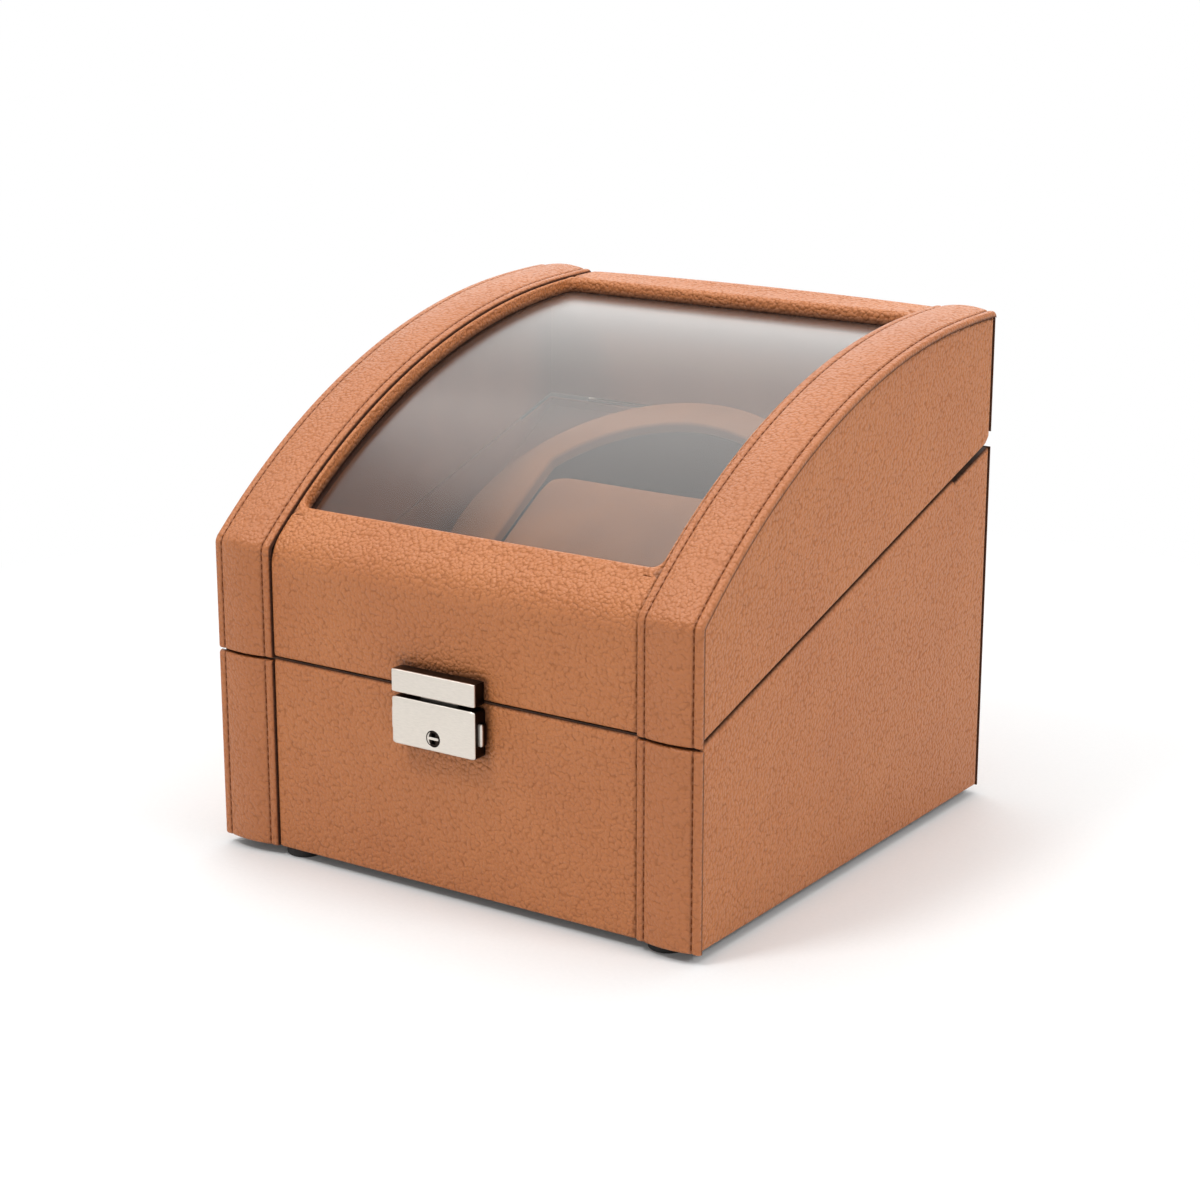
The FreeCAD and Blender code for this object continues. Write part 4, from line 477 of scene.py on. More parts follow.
def strap_height(across):
    """Height of the strap's face: a parabola between the stitch rows, a bell-shaped groove
    at each row, a flat edge and a rounded corner of 1 mm."""
    side = np.minimum(across, STRAP_WIDTH - across)
    middle = np.clip((across - STRAP_WIDTH / 2) / (STRAP_WIDTH / 2 - ROW), -1, 1)
    crown = -1.0 * middle ** 2
    groove = -0.38 * np.exp(-((side - ROW) / 0.42) ** 2)
    return crown + groove - round_over(side, 1.0)


def strap(name, path, sign, body, node_name, high_round=1.0):
    """A strap: the section's height over the path as the outer grid, its underside as the
    inner one, rounded at both ends. One more column on each side goes down the band's edge.
    The painted shade is deep at the stitches and beside the panels, and faint at the outer
    edge."""
    along = stations(0, path.length, 0.9)
    across = np.unique(np.concatenate([
        stations(0, STRAP_WIDTH, 1.0, 1.0),
        ROW + np.linspace(-1, 1, 11), STRAP_WIDTH - ROW + np.linspace(-1, 1, 11)]))
    s, a = np.meshgrid(along, np.concatenate([[0], across, [STRAP_WIDTH]]), indexing="ij")
    height = (strap_height(a) - round_over(s, 1.0)
              - round_over(path.length - s, high_round))
    height[:, [0, -1]] = np.minimum(height[:, [0, -1]], BAND_LOW)
    row = np.minimum(np.abs(a - ROW), np.abs(STRAP_WIDTH - ROW - a))
    # painted shade in the stitch grooves, beside the panels, at the lower end and on the
    # band's edge
    painted_shade = np.maximum(0.5 * np.exp(-(row / 0.34) ** 2),
                        np.maximum(near_edge(a, 0.2), near_edge(s, 0.25)))
    painted_shade[:, -1] = np.maximum(painted_shade[:, -1], 0.3)
    x = sign * (STRAP_IN + a)
    y, z = path.at(s, height)
    outer = np.stack([x, y, z], -1)
    y, z = path.at(s, -UNDER + 0.02)
    inner = np.stack([x, y, z], -1)
    points, quads = skin(outer, inner)
    piece = add_mesh(name, points, quads, body, "tan_leather", strap_leather,
                     painted_shade_with_underside(painted_shade))
    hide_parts(node_name)


base_path = Path(np.stack([np.full(90, FRONT),
                           np.linspace(FOOT, float(seam(FRONT)) - GAP, 90)], 1))
for side, sign in (("left", -1), ("right", 1)):
    strap(f"lid_strap_sewn_{side}", strap_path, sign, "lid", f"lid_strap_{side}", 1.6)
    strap(f"base_strap_sewn_{side}", base_path, sign, "base", f"base_strap_{side}")

# %% [markdown]
# ## Stitches
#
# Each stitch is a thread that comes up through the leather and goes down again, a short bar
# with rounded ends. One bar is worked out once, as an ellipsoid with blunt ends, and placed
# along each row by its length on the path. All bars of a strap share one mesh, which keeps
# hundreds of them light.


# %% Thread and stitches
def thread_material():
    """Dark waxed thread: a brown with fine turned strands as bump."""
    material, tree, shader = new_material("brown_thread")
    strands = node(tree, "TexWave", {"Vector": place(tree), "Scale": 900.0,
                                     "Distortion": 2.0, "Detail": 1.0},
                   bands_direction="DIAGONAL").outputs["Fac"]
    tint = colours(tree, strands, [(0.0, sRGB(96, 50, 26)), (1.0, sRGB(134, 78, 46))])
    tree.links.new(tint, shader.inputs["Base Color"])
    shader.inputs["Roughness"].default_value = 0.85
    shader.inputs["Specular IOR Level"].default_value = 0.15
    bump(tree, shader, strands, 0.00005)
    return material


brown_thread = thread_material()


def bar(length, thick, around=8, along=7):
    """One stitch along the first axis: circles whose radius follows the square root of
    1 - t^4, so the bar is blunt and its ends are closed."""
    t = np.sin(np.linspace(-math.pi / 2, math.pi / 2, along))
    radius = thick / 2 * np.maximum(1 - t ** 4, 0) ** 0.5
    angle = np.linspace(0, 2 * math.pi, around, endpoint=False)
    tt, aa = np.meshgrid(t, angle, indexing="ij")
    rr = np.broadcast_to(radius[:, None], tt.shape)
    return np.stack([tt * length / 2, rr * np.cos(aa), rr * np.sin(aa)], -1)


def stitches(name, path, sign, body, pitch=2.7, length=1.9, thick=0.5):
    """Two rows of bars along a strap, tilted a little out of line as hand-set ones are. A
    bar's own length, width and height are added to its place along, across and above."""
    shape = bar(length, thick)
    long, wide, high = (shape[None, :, :, k] for k in range(3))
    centres = np.arange(2.2, path.length - 1.6, pitch)
    one = grid_quads(*shape.shape[:2], close_columns=True)
    first = (np.arange(len(centres)) * shape.shape[0] * shape.shape[1])[:, None, None]
    many = (one[None] + first).reshape(-1, 4)
    points, quads = [], []
    for number, across in enumerate((ROW, STRAP_WIDTH - ROW)):
        s = centres[:, None, None] + long
        x = sign * (STRAP_IN + across + wide + 0 * s + 0.05 * long)
        y, z = path.at(s, float(strap_height(np.array(across))) + 0.04 + high)
        points.append(np.stack([x, y, z], -1).reshape(-1, 3))
        quads.append(many + number * s.size)
    add_mesh(name, np.concatenate(points), np.concatenate(quads), body, "tan_leather",
             brown_thread)


for side, sign in (("left", -1), ("right", 1)):
    stitches(f"lid_stitches_{side}", strap_path, sign, "lid")
    stitches(f"base_stitches_{side}", base_path, sign, "base")

# %% [markdown]
# ## Front leather
#
# Between the straps the lid's front is one soft sheet: it comes up from the parting, bends
# over a large radius and meets the rolled edge of the window. The base has a flat sheet
# below it. Their edges are turned in, so they are rounded at the parting, and they dip along
# the straps, which leaves the dark line that sets the straps off, shade in the dip with
# painted shade added. The plates of the lock are pressed into them, so each sheet also has a
# soft dent round its plate, with a painted shadow round the plate.


# %% Front sheets
SHEET = 1.18             # the sheets' thickness
DIP = 1.12               # the deepest that a sheet's edge goes down
EDGE = 1.7               # radius of the edge that meets the straps
LOCK_X, PLATE_HALF = -1.3, 15.5          # the lock's middle, half the width of its plates
CASE_LOW, CASE_HIGH = 48.9, 63.9         # heights of the lock case
HASP_LOW, HASP_HIGH = 65.2, 72.4         # heights of the hasp
WINDOW_LOW, WINDOW_HIGH, WINDOW_HALF = -74.5, 73.0, 66.6
ROLL = 4.2               # width of the rolled edge before and behind the window


def edge_dip(x):
    """How far a sheet dips where it meets the straps: a rounded edge at both sides."""
    return np.minimum(round_over(STRAP_IN - np.abs(x), EDGE), DIP)


def strap_painted_shade(x):
    """Painted shade of a sheet beside the straps: full where it meets them, gone 0.8 mm away.
    """
    return near_edge(STRAP_IN - np.abs(x), 0.8)


def around_plate(x, z, low, high):
    """Distance of a place on the front from a plate's outline, nothing on the plate: how
    far it lies beyond the plate's ends and its lower and upper edge."""
    beyond_x = np.maximum(np.abs(x - LOCK_X) - PLATE_HALF, 0)
    beyond_z = np.maximum.reduce([low - z, z - high, 0 * z])
    return np.hypot(beyond_x, beyond_z)


def front_sheet(path, stop, low_round, high_round, plate, body):
    """A sheet between the straps, from its path's lower end to a length, with a bell-shaped
    dent round a plate. Its painted shade is full at the straps and at a rounded end, and more
    than half as deep round the plate, as a painted shadow."""
    s, x = np.meshgrid(stations(0, stop, 0.9), stations(-STRAP_IN, STRAP_IN, 1.0, 1.7),
                       indexing="ij")
    height = -edge_dip(x) - round_over(s, low_round)
    painted_shade = np.maximum(strap_painted_shade(x), near_edge(s, 0.35))
    if high_round:
        height = height - round_over(stop - s, high_round)
        painted_shade = np.maximum(painted_shade, near_edge(stop - s, 0.35))
    away = around_plate(x, path.at(s)[1], *plate)
    height = height - 0.42 * np.exp(-(away / 2.2) ** 2)
    # painted shadow: a dark halo round the lock's plate
    painted_shade = np.maximum(painted_shade, 0.62 * np.exp(-(away / 1.3) ** 2))
    outer = np.stack([x, *path.at(s, np.maximum(height, -DIP))], -1)
    inner = np.stack([x, *path.at(s, -SHEET + 0 * s)], -1)
    piece = add_mesh(f"{body}_front_leather", *skin(outer, inner), body, "tan_leather",
                     tan_leather, painted_shade_with_underside(painted_shade))
    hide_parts(f"{body}_front_cover")


window_start = cover_path.length_at(WINDOW_LOW)
window_stop = cover_path.length_at(WINDOW_HIGH)
front_path = Path(np.stack([np.full(80, FRONT + COVER),
                            np.linspace(FOOT, float(seam(FRONT + COVER)) - GAP, 80)], 1))
front_sheet(cover_path, window_start - ROLL, 1.4, 0, (HASP_LOW, HASP_HIGH), "lid")
front_sheet(front_path, front_path.length, 1.0, 1.4, (CASE_LOW, CASE_HIGH), "base")

# %% [markdown]
# ## Rolled edge round the window
#
# The leather turns in round the window over a soft radius and goes down to the acrylic. In
# the flat it's a frame with rounded corners. Going round it is one parameter, going from the
# acrylic up over the roll and out to the flat is the other, so the whole frame is one tube
# that closes both ways, and no corner needs a mitre.


# %% Window roll
def rounded_outline(x_half, low, high, radii, step=1.5):
    """Points of a rectangle with rounded corners, anticlockwise from the lower right, with
    the direction that looks away from its middle at each point."""
    corners = [(x_half, low, -90, radii[0]), (x_half, high, 0, radii[1]),
               (-x_half, high, 90, radii[1]), (-x_half, low, 180, radii[0])]
    points, ways = [], []
    for number, (x, s, turn, radius) in enumerate(corners):
        cx, cs = x - math.copysign(radius, x), s + (radius if s == low else -radius)
        t = np.radians(turn + np.linspace(0, 90, 13))
        way = np.stack([np.cos(t), np.sin(t)], 1)
        points.append(np.array([cx, cs]) + radius * way)
        ways.append(way)
        nx, ns, nturn, nradius = corners[(number + 1) % 4]
        start = points[-1][-1]
        t = math.radians(nturn)
        end = np.array([nx - math.copysign(nradius, nx),
                        ns + (nradius if ns == low else -nradius)])
        end = end + nradius * np.array([math.cos(t), math.sin(t)])
        count = max(int(np.hypot(*(end - start)) / step), 2)
        line = start + (end - start) * np.linspace(0, 1, count + 1)[1:-1, None]
        points.append(line)
        ways.append(np.broadcast_to(way[-1], line.shape))
    return np.concatenate(points), np.concatenate(ways)


def window_roll():
    """The rolled frame: for each point of the opening's outline, a closed section that goes
    up the wall, over a quarter circle, out to the flat and back underneath. The circle's
    radius is 2 mm before and behind the window and 1.2 mm at its sides, by the way that the
    outline looks, and at the sides the straps cut the flat short. The painted shade is deep
    down the wall, where the recess lies in shade, and beside the straps."""
    outline, ways = rounded_outline(WINDOW_HALF, window_start, window_stop, (3.6, 3.0))
    roll = 1.2 + 0.8 * np.abs(ways[:, 1])
    turn = np.linspace(0, math.pi / 2, 9)[:, None]
    deep = -4.85
    wall = np.array([deep, -3.6, -2.6])[:, None]
    flat = np.array([2.6, 3.2, 3.5, 3.8, 4.0, ROLL])[:, None]
    under = np.array([[ROLL, -SHEET], [1.2, -SHEET], [1.2, deep]])
    one = np.ones_like(roll)[None]
    out = np.concatenate([0 * wall * one, roll * (1 - np.cos(turn)), flat * one,
                          under[:, :1] * one])
    height = np.concatenate([wall * one, roll * (np.sin(turn) - 1), 0 * flat * one,
                             under[:, 1:] * one])
    corner = (np.abs(ways[:, 0]) > 1e-3) & (np.abs(ways[:, 1]) > 1e-3)
    reach = np.where((out >= 2.6) & corner, out, 0)
    x = outline[:, 0] + out * ways[:, 0] + np.sign(ways[:, 0]) * reach
    s = outline[:, 1] + out * ways[:, 1] + np.sign(ways[:, 1]) * reach
    x = np.clip(x, -STRAP_IN, STRAP_IN)
    s = np.clip(s, window_start - ROLL, window_stop + ROLL)
    y, z = cover_path.at(s, height - np.where(height > -1, edge_dip(x), 0))
    points = np.stack([x, y, z], -1)
    quads = grid_quads(*points.shape[:2], close_rows=True, close_columns=True)
    # painted shade: the wall's lower part is painted dark, as the recess's shade
    painted_shade = np.maximum(np.clip((-2.7 - height) / 1.6, 0, 1),
                        strap_painted_shade(x) * (height > -1.9))
    return points, quads, painted_shade


points, quads, painted_shade = window_roll()
roll_piece = add_mesh("window_roll", points, quads, "lid", "tan_leather", tan_leather,
                      painted_shade)
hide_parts("window_roll_left", "window_roll_right")

# %% [markdown]
# ## Back leather
#
# Behind the window a narrow bar of the same sheet closes the top and is turned down over
# the rear edge, where it meets the sheet of the back. It swells a little towards the rear
# edge and the middle, by the product of two parabolas. The back sheet is flat, rounded along
# its edges, and cut away at its lower edge to clear the hinges. The base's back sheet has
# two openings, for the power inlet and the switch.


# %% Back sheets
def turned_down():
    """The cover's path with the rear edge: the curve to 88.3, a bend of 1.45 and down."""
    line = cover_path.points[cover_path.points[:, 0] < 88.3]
    y, z = line[-1]
    bend = arc((88.5, z - 1.45), 1.45, math.pi / 2 - 0.03, 0, 0.2)
    down = np.stack([np.full(6, 89.95), np.linspace(z - 1.6, z - 2.2, 6)], 1)
    return Path(np.concatenate([line, bend, down]))


rear_path = turned_down()
s, x = np.meshgrid(stations(window_stop + ROLL, rear_path.length, 1.0, 0.5),
                   stations(-STRAP_IN, STRAP_IN, 2.0), indexing="ij")
swell = np.clip((s - window_stop - ROLL) / 9, 0, 1) ** 2 * (1 - (x / STRAP_IN) ** 2)
top_y, top_z = rear_path.at(s, 0.9 * swell - edge_dip(x))
low_y, low_z = rear_path.at(s, -1.15 + 0 * s)
points, quads = skin(np.stack([x, top_y, top_z], -1), np.stack([x, low_y, low_z], -1))
# painted shade beside the straps
add_mesh("lid_top_bar", points, quads, "lid", "tan_leather", tan_leather,
         painted_shade_with_underside(strap_painted_shade(x)))
BACK_INNER, SIDE_INNER = 88.82, 88.02    # inner faces of the back and the side sheets
BACK_ROUND = 0.9


def back_sheet(name, low, high, body, node_name, holes=()):
    """A sheet of the back face from one height to another: rounded at its edges, with the
    cells inside each opening left out."""
    xs, zs = stations(-SIDE, SIDE, 2.2), stations(low, high, 2.2)
    for x0, x1, z0, z1 in holes:
        xs = np.unique(np.concatenate([xs[(xs < x0 - 0.4) | (xs > x1 + 0.4)], [x0, x1]]))
        zs = np.unique(np.concatenate([zs[(zs < z0 - 0.4) | (zs > z1 + 0.4)], [z0, z1]]))
    for x0, x1, z0, z1 in holes:
        xs = np.unique(np.concatenate([xs, np.linspace(x0, x1, 4)]))
        zs = np.unique(np.concatenate([zs, np.linspace(z0, z1, 4)]))
    z, x = np.meshgrid(zs, xs, indexing="ij")
    depth = round_over(np.minimum.reduce([SIDE - np.abs(x), z - low, high - z]), BACK_ROUND)
    outer = np.stack([x, BACK - depth, z], -1)
    inner = np.stack([x, np.full_like(x, BACK_INNER), z], -1)
    cx, cz = (xs[1:] + xs[:-1]) / 2, (zs[1:] + zs[:-1]) / 2
    keep = np.ones((len(cz), len(cx)), bool)
    for x0, x1, z0, z1 in holes:
        keep &= ~((cx > x0) & (cx < x1) & (cz[:, None] > z0) & (cz[:, None] < z1))
    points, quads = skin(outer, inner, keep)
    # painted shade along the rounded edges
    piece = add_mesh(name, points, quads, body, "tan_leather", tan_leather,
                     painted_shade_with_underside(np.clip(depth / BACK_ROUND, 0, 1) ** 2))
    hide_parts(node_name)


back_seam = float(seam(BACK))
back_sheet("lid_back_leather", back_seam + 3.2, float(lid_top(89.4, UNDER)) - 0.1, "lid",
           "lid_back_cover")
back_sheet("base_back_leather", FOOT, back_seam - 1.9, "base", "base_back_cover",
           holes=[(-51.5, -32.5, 17.5, 30.5), (38.2, 45.8, 20.2, 27.8)])

# %% [markdown]
# ## Side leather
#
# Each side of the lid and of the base is one flat sheet. Its outline isn't a rectangle, but
# at each y it has a lower and an upper end, so a grid in y and in the share of that height
# covers it. The edge is rounded by the distance to the nearest border: front, back, the
# parting, and for the lid the arc.


# %% Side sheets
SLOPE = math.cos(math.atan2(57, 180))
HINGE_FRONT = 64.0       # behind this the base's rim is cut lower for the hinges


def low_edge(y):
    """Lower edge of the lid's side: half a gap above the parting, with the rear corner cut
    away at 45 degrees."""
    return np.maximum(seam(y) + GAP, seam(BACK) + GAP + (np.asarray(y) - 87.0))


def base_rim(y):
    """Upper edge of the base's side: half a gap below the parting, lower by the hinges."""
    return seam(y) - GAP - 1.4 * (np.asarray(y) > HINGE_FRONT)


def side_sheet(name, lower, upper, border, sign, body, node_name):
    """A side sheet between two edges given as functions of y, on one side of the box."""
    front, back = FRONT + UNDER, BACK - 1.2
    y_places = np.unique(np.concatenate([
        stations(front, back, 1.6, 2.4), [HINGE_FRONT - 0.05, HINGE_FRONT + 0.05],
        np.linspace(85.5, back, 9)]))
    ends = 0.03 * (1 - np.cos(np.linspace(0, math.pi / 2, 6)))
    share = np.unique(np.concatenate([ends, np.linspace(0.03, 0.97, 40), 1 - ends]))
    y, t = np.meshgrid(y_places, share, indexing="ij")
    z = lower(y) + t * (upper(y) - lower(y))
    near = np.minimum.reduce([y - front, border(y, z)])
    depth = np.maximum(round_over(np.maximum(near, 0), 1.3), round_over(back - y, 2.2) * 0.5)
    x = sign * (SIDE - np.minimum(depth, 1.1))
    outer = np.stack([x, y, z], -1)
    inner = np.stack([np.full_like(x, sign * SIDE_INNER), y, z], -1)
    points, quads = skin(outer, inner)
    # painted shade along the edges
    piece = add_mesh(name, points, quads, body, "tan_leather", tan_leather,
                     painted_shade_with_underside(near_edge(near, 0.6)))
    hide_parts(node_name)


def lid_border(y, z):
    """Distance to the lid side's nearest long edge: the parting or the curve."""
    to_low = (z - low_edge(y)) * SLOPE
    to_top = (lid_top(y, UNDER) - z) * 0.8
    return np.minimum(to_low, to_top)


def base_border(y, z):
    """Distance to the base side's rim or lower edge."""
    return np.minimum((base_rim(y) - z) * SLOPE, z - FOOT)


for side, sign in (("left", -1), ("right", 1)):
    side_sheet(f"lid_side_leather_{side}", low_edge, lambda y: lid_top(y, UNDER + 0.05),
               lid_border, sign, "lid", f"lid_side_cover_{side}")
    side_sheet(f"base_side_leather_{side}", lambda y: FOOT + 0 * y, base_rim, base_border,
               sign, "base", f"base_side_cover_{side}")

# %% [markdown]
# ## Acrylic window
#
# The window is one bent sheet of clear acrylic, 2 mm thick. The solid shows its facets in
# the reflections, so a fine grid follows the curve instead. Acrylic mirrors little straight
# on and much at a flat angle: a clear shader and a mirror mixed by Fresnel show both, and
# light reaches the inside of the box through it. The mirror is soft, and a faint noise keeps
# its image from being perfect, as on moulded sheet.


# %% Window
def acrylic():
    """Clear, and a soft mirror by Fresnel. Light isn't bent here, so only the faces that it
    meets from outside mirror, by 1.45 times one face's share for the sheet's two, and those
    it leaves by are clear."""
    material, tree, shader = new_material("clear_acrylic")
    output = tree.nodes["Material Output"]
    tree.nodes.remove(shader)
    ripple = node(tree, "Bump", {"Height": noise(tree, place(tree), 40.0, 1.0),
                                 "Distance": 0.0004, "Strength": 0.2}).outputs["Normal"]
    clear = node(tree, "BsdfTransparent", {"Color": (0.955, 0.95, 0.94, 1)})
    mirror = node(tree, "BsdfGlossy", {"Color": (1, 0.97, 0.945, 1), "Roughness": 0.22,
                                       "Normal": ripple})
    fresnel = node(tree, "Fresnel", {"IOR": 1.49}).outputs["Fac"]
    entering = maths(tree, "SUBTRACT", 1.0, node(tree, "NewGeometry").outputs["Backfacing"])
    both = maths(tree, "MULTIPLY", fresnel, 1.45)
    share = maths(tree, "MINIMUM", maths(tree, "MULTIPLY", both, entering), 1.0)
    mixed = node(tree, "MixShader", {0: share, 1: clear.outputs["BSDF"],
                                     2: mirror.outputs["BSDF"]})
    tree.links.new(mixed.outputs["Shader"], output.inputs["Surface"])
    return material


ACRYLIC_FRONT, ACRYLIC_BACK, ACRYLIC_HALF = -80.4, 78.9, 72.5
ACRYLIC_TOP, ACRYLIC_UNDER = 6.72, 8.68  # how far its faces lie below the straps' level


def window_sheet():
    """The sheet's two faces along the lid's curve."""
    y, x = np.meshgrid(stations(ACRYLIC_FRONT, ACRYLIC_BACK, 1.5, 0.4),
                       stations(-ACRYLIC_HALF, ACRYLIC_HALF, 5.0, 0.4), indexing="ij")
    return skin(np.stack([x, y, lid_top(y, ACRYLIC_TOP)], -1),
                np.stack([x, y, lid_top(y, ACRYLIC_UNDER)], -1))


clear_window = acrylic()
window = add_mesh("window_sheet", *window_sheet(), "lid", "clear_window", clear_window)
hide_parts("window")

# %% [markdown]
# ## Suede
#
# The inside is covered in suede, a redder brown on the walls and a yellower one on the ring
# and the cushion. Suede has no gloss: it's short upright fibre that looks lighter at flat
# angles, which is what the sheen layer is for, and brushing leaves lighter and darker patches
# in it. Two noises do that, one for the patches and one for the fibre.


# %% Suede
def suede(name, dark, light):
    """Suede: patches from a slow noise, fibre from a fine one, and a sheen."""
    material, tree, shader = new_material(name)
    here = place(tree)
    patches = noise(tree, here, 46.0, 4.0, 0.6)
    fibre = noise(tree, place(tree, (1, 1, 1.6)), 2600.0, 4.0, 0.7)
    tint = colours(tree, patches, [(0.32, dark), (0.68, light)])
    grain = spread(tree, fibre, 0.3, 0.7, 0.86, 1.08)
    grey = node(tree, "CombineColor", {"Red": grain, "Green": grain, "Blue": grain})
    tint = mix(tree, 1.0, tint, grey.outputs["Color"], "MULTIPLY")
    tree.links.new(tint, shader.inputs["Base Color"])
    shader.inputs["Roughness"].default_value = 0.92
    shader.inputs["Specular IOR Level"].default_value = 0.15
    shader.inputs["Sheen Weight"].default_value = 0.1
    shader.inputs["Sheen Roughness"].default_value = 0.5
    shader.inputs["Sheen Tint"].default_value = (*light, 1)
    bump(tree, shader, fibre, 0.00004, 0.5)
    return material


taupe_suede = suede("taupe_suede", sRGB(132, 84, 60), sRGB(150, 100, 74))
tan_suede = suede("tan_suede", sRGB(126, 80, 48), sRGB(142, 94, 60))
print("suede", taupe_suede.name, tan_suede.name)

# %% [markdown]
# ## Ring
#
# The ring is card wrapped in suede, so its edges are soft. It's a flat ring whose outer edge
# is a circle and whose hole is barrel-shaped: two arcs cut off by straight sides. At each
# angle the section is a closed loop from the hole to the outer edge, top and underside.


# %% Rotor frame and ring
TILT = math.radians(31.8)
ROTOR_CENTRE = np.array([0.0, 7.1, 94.5])
UP_SLOPE = np.array([0.0, math.cos(TILT), math.sin(TILT)])
OUT = np.array([0.0, -math.sin(TILT), math.cos(TILT)])
RING_OUTER = 65.0        # radius of the ring's outer edge
RING_UNDER = -3.9        # its underside below its face
HOLE_ARC, HOLE_SIDE = 54.0, 46.0         # radius of the hole's arcs, half its width


def on_rotor(x, up, out):
    """A place given across, up the slope and out of the ring's face: centre plus each
    distance times its direction."""
    x, up, out = np.broadcast_arrays(x, up, out)
    return (ROTOR_CENTRE + x[..., None] * np.array([1.0, 0, 0]) + up[..., None] * UP_SLOPE
            + out[..., None] * OUT)


def ring():
    """The ring: its hole's radius is the nearer of the arc and the straight side, and a
    place on its section is a share of the way from the hole to the outer edge."""
    angle = np.linspace(0, 2 * math.pi, 240, endpoint=False)
    corner = math.acos(HOLE_SIDE / HOLE_ARC)
    for turn in (corner, math.pi - corner, math.pi + corner, 2 * math.pi - corner):
        angle[np.argmin(np.abs(angle - turn))] = turn
    hole = np.minimum(HOLE_ARC, HOLE_SIDE / np.maximum(np.abs(np.cos(angle)), 1e-3))
    soft, edge = np.linspace(0, math.pi / 2, 6), 1.2
    loop = np.concatenate([
        [[0, RING_UNDER, 0], [0, -2.6, 0]],
        np.stack([0 * soft, edge * np.sin(soft) - edge, edge * (1 - np.cos(soft))], 1),
        [[0.25, 0.0, 0], [0.5, 0.0, 0], [0.75, 0.0, 0]],
        np.stack([0 * soft + 1, edge * np.cos(soft) - edge,
                  -edge * (1 - np.sin(soft))], 1),
        [[1, -2.6, 0], [1, RING_UNDER, 0], [0.5, RING_UNDER, 0]]])
    share, level, shift = (loop[:, k][:, None] for k in range(3))
    radius = hole[None] + share * (RING_OUTER - hole[None]) + shift
    return on_rotor(radius * np.cos(angle), radius * np.sin(angle), level + 0 * radius)


points = ring()
quads = grid_quads(*points.shape[:2], close_rows=True, close_columns=True)
ring_piece = add_mesh("suede_ring", points, quads, "rotor", "tan_suede", tan_suede)
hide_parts("drum_ring")

# %% [markdown]
# ## Cushion
#
# The cushion is stuffed, so it's blown up like one. A rounded block a little smaller than
# the pocket is meshed evenly, made cloth and inflated for twenty steps without gravity. How
# far a point may move is capped, the result is kept inside the pocket, and a subdivision
# smooths it.


# %% Cushion
CUSHION_MIDDLE = np.array([0.0, 0.0, -15.9])
CUSHION_HALF = np.array([45.4, 25.9, 18.4])


def rounded_block(half, radius, count=14):
    """A block with rounded edges: each point of a gridded cube is brought into the smaller
    block inside, and moved out again by the radius along the way it came."""
    line = np.linspace(-1, 1, count)
    a, b = np.meshgrid(line, line, indexing="ij")
    one = np.ones_like(a)
    sides = [(one, a, b), (-one, b, a), (b, one, a), (a, -one, b), (a, b, one), (b, a, -one)]
    cube = np.stack([np.stack(side, -1) for side in sides]) * half
    core = np.clip(cube, -(half - radius), half - radius)
    way = cube - core
    way /= np.maximum(np.linalg.norm(way, axis=-1, keepdims=True), 1e-9)
    points = core + radius * way
    quads = np.concatenate([grid_quads(count, count) + k * count * count for k in range(6)])
    return points.reshape(-1, 3), quads


def on_cushion(local):
    """Places given from the cushion's middle, brought onto the tilted rotor."""
    local = local + CUSHION_MIDDLE
    return on_rotor(local[:, 0], local[:, 1], local[:, 2])


def inflate(local, quads, cap=6.0):
    """The block after twenty steps of cloth with inner pressure, its moves capped."""
    mesh = bpy.data.meshes.new("cushion_blank")
    mesh.from_pydata((local * 0.001).tolist(), [], quads.tolist())
    blank = bpy.data.objects.new("cushion_blank", mesh)
    bpy.context.scene.collection.objects.link(blank)
    weld = blank.modifiers.new("weld", "WELD")
    weld.merge_threshold = 0.0002
    even = blank.modifiers.new("even", "REMESH")
    even.mode = "VOXEL"
    even.voxel_size = 0.004
    ready = bpy.data.meshes.new_from_object(
        blank.evaluated_get(bpy.context.evaluated_depsgraph_get()))
    blank.modifiers.clear()
    blank.data = ready
    start = np.empty(len(ready.vertices) * 3, np.float32)
    ready.vertices.foreach_get("co", start)
    cloth = blank.modifiers.new("cloth", "CLOTH")
    cloth.settings.use_pressure = True
    cloth.settings.uniform_pressure_force = 4.0
    cloth.settings.effector_weights.gravity = 0
    cloth.settings.quality = 6
    for step in range(1, 21):
        bpy.context.scene.frame_set(step)
    blown = bpy.data.meshes.new_from_object(
        blank.evaluated_get(bpy.context.evaluated_depsgraph_get()))
    end = np.empty(len(blown.vertices) * 3, np.float32)
    blown.vertices.foreach_get("co", end)
    bpy.context.scene.frame_set(1)
    start, end = start.reshape(-1, 3) * 1000, end.reshape(-1, 3) * 1000
    move = end - start
    far = np.maximum(np.linalg.norm(move, axis=1, keepdims=True), 1e-9)
    end = start + move * np.minimum(1, cap / far)
    faces = np.array([list(p.vertices) + [p.vertices[-1]] * (4 - len(p.vertices))
                      for p in blown.polygons])
    bpy.data.objects.remove(blank)
    return end, faces


def cushion_shape():
    half = CUSHION_HALF - np.array([3.0, 3.0, 2.5])
    points, quads = rounded_block(half, 6.5)
    quads = faces_out(points, quads)
    points, quads = inflate(points, quads)
    low, high = points.min(0), points.max(0)
    points = (points - (low + high) / 2) / ((high - low) / 2) * CUSHION_HALF
    return points, quads


local, quads = cushion_shape()
cushion = add_mesh("suede_cushion", on_cushion(local), quads, "cushion", "tan_suede",
                   tan_suede)
smooth = cushion.modifiers.new("smooth", "SUBSURF")
smooth.levels = smooth.render_levels = 1
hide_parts("cushion")

# %% [markdown]
# ## Lock
#
# The lock and the hasp are nickel-plated with a satin face. Their ends and upper sides
# mirror a dark room and look nearly black, and a painted reflection carries that: the
# painted shade on those points turns their colour nearly black.


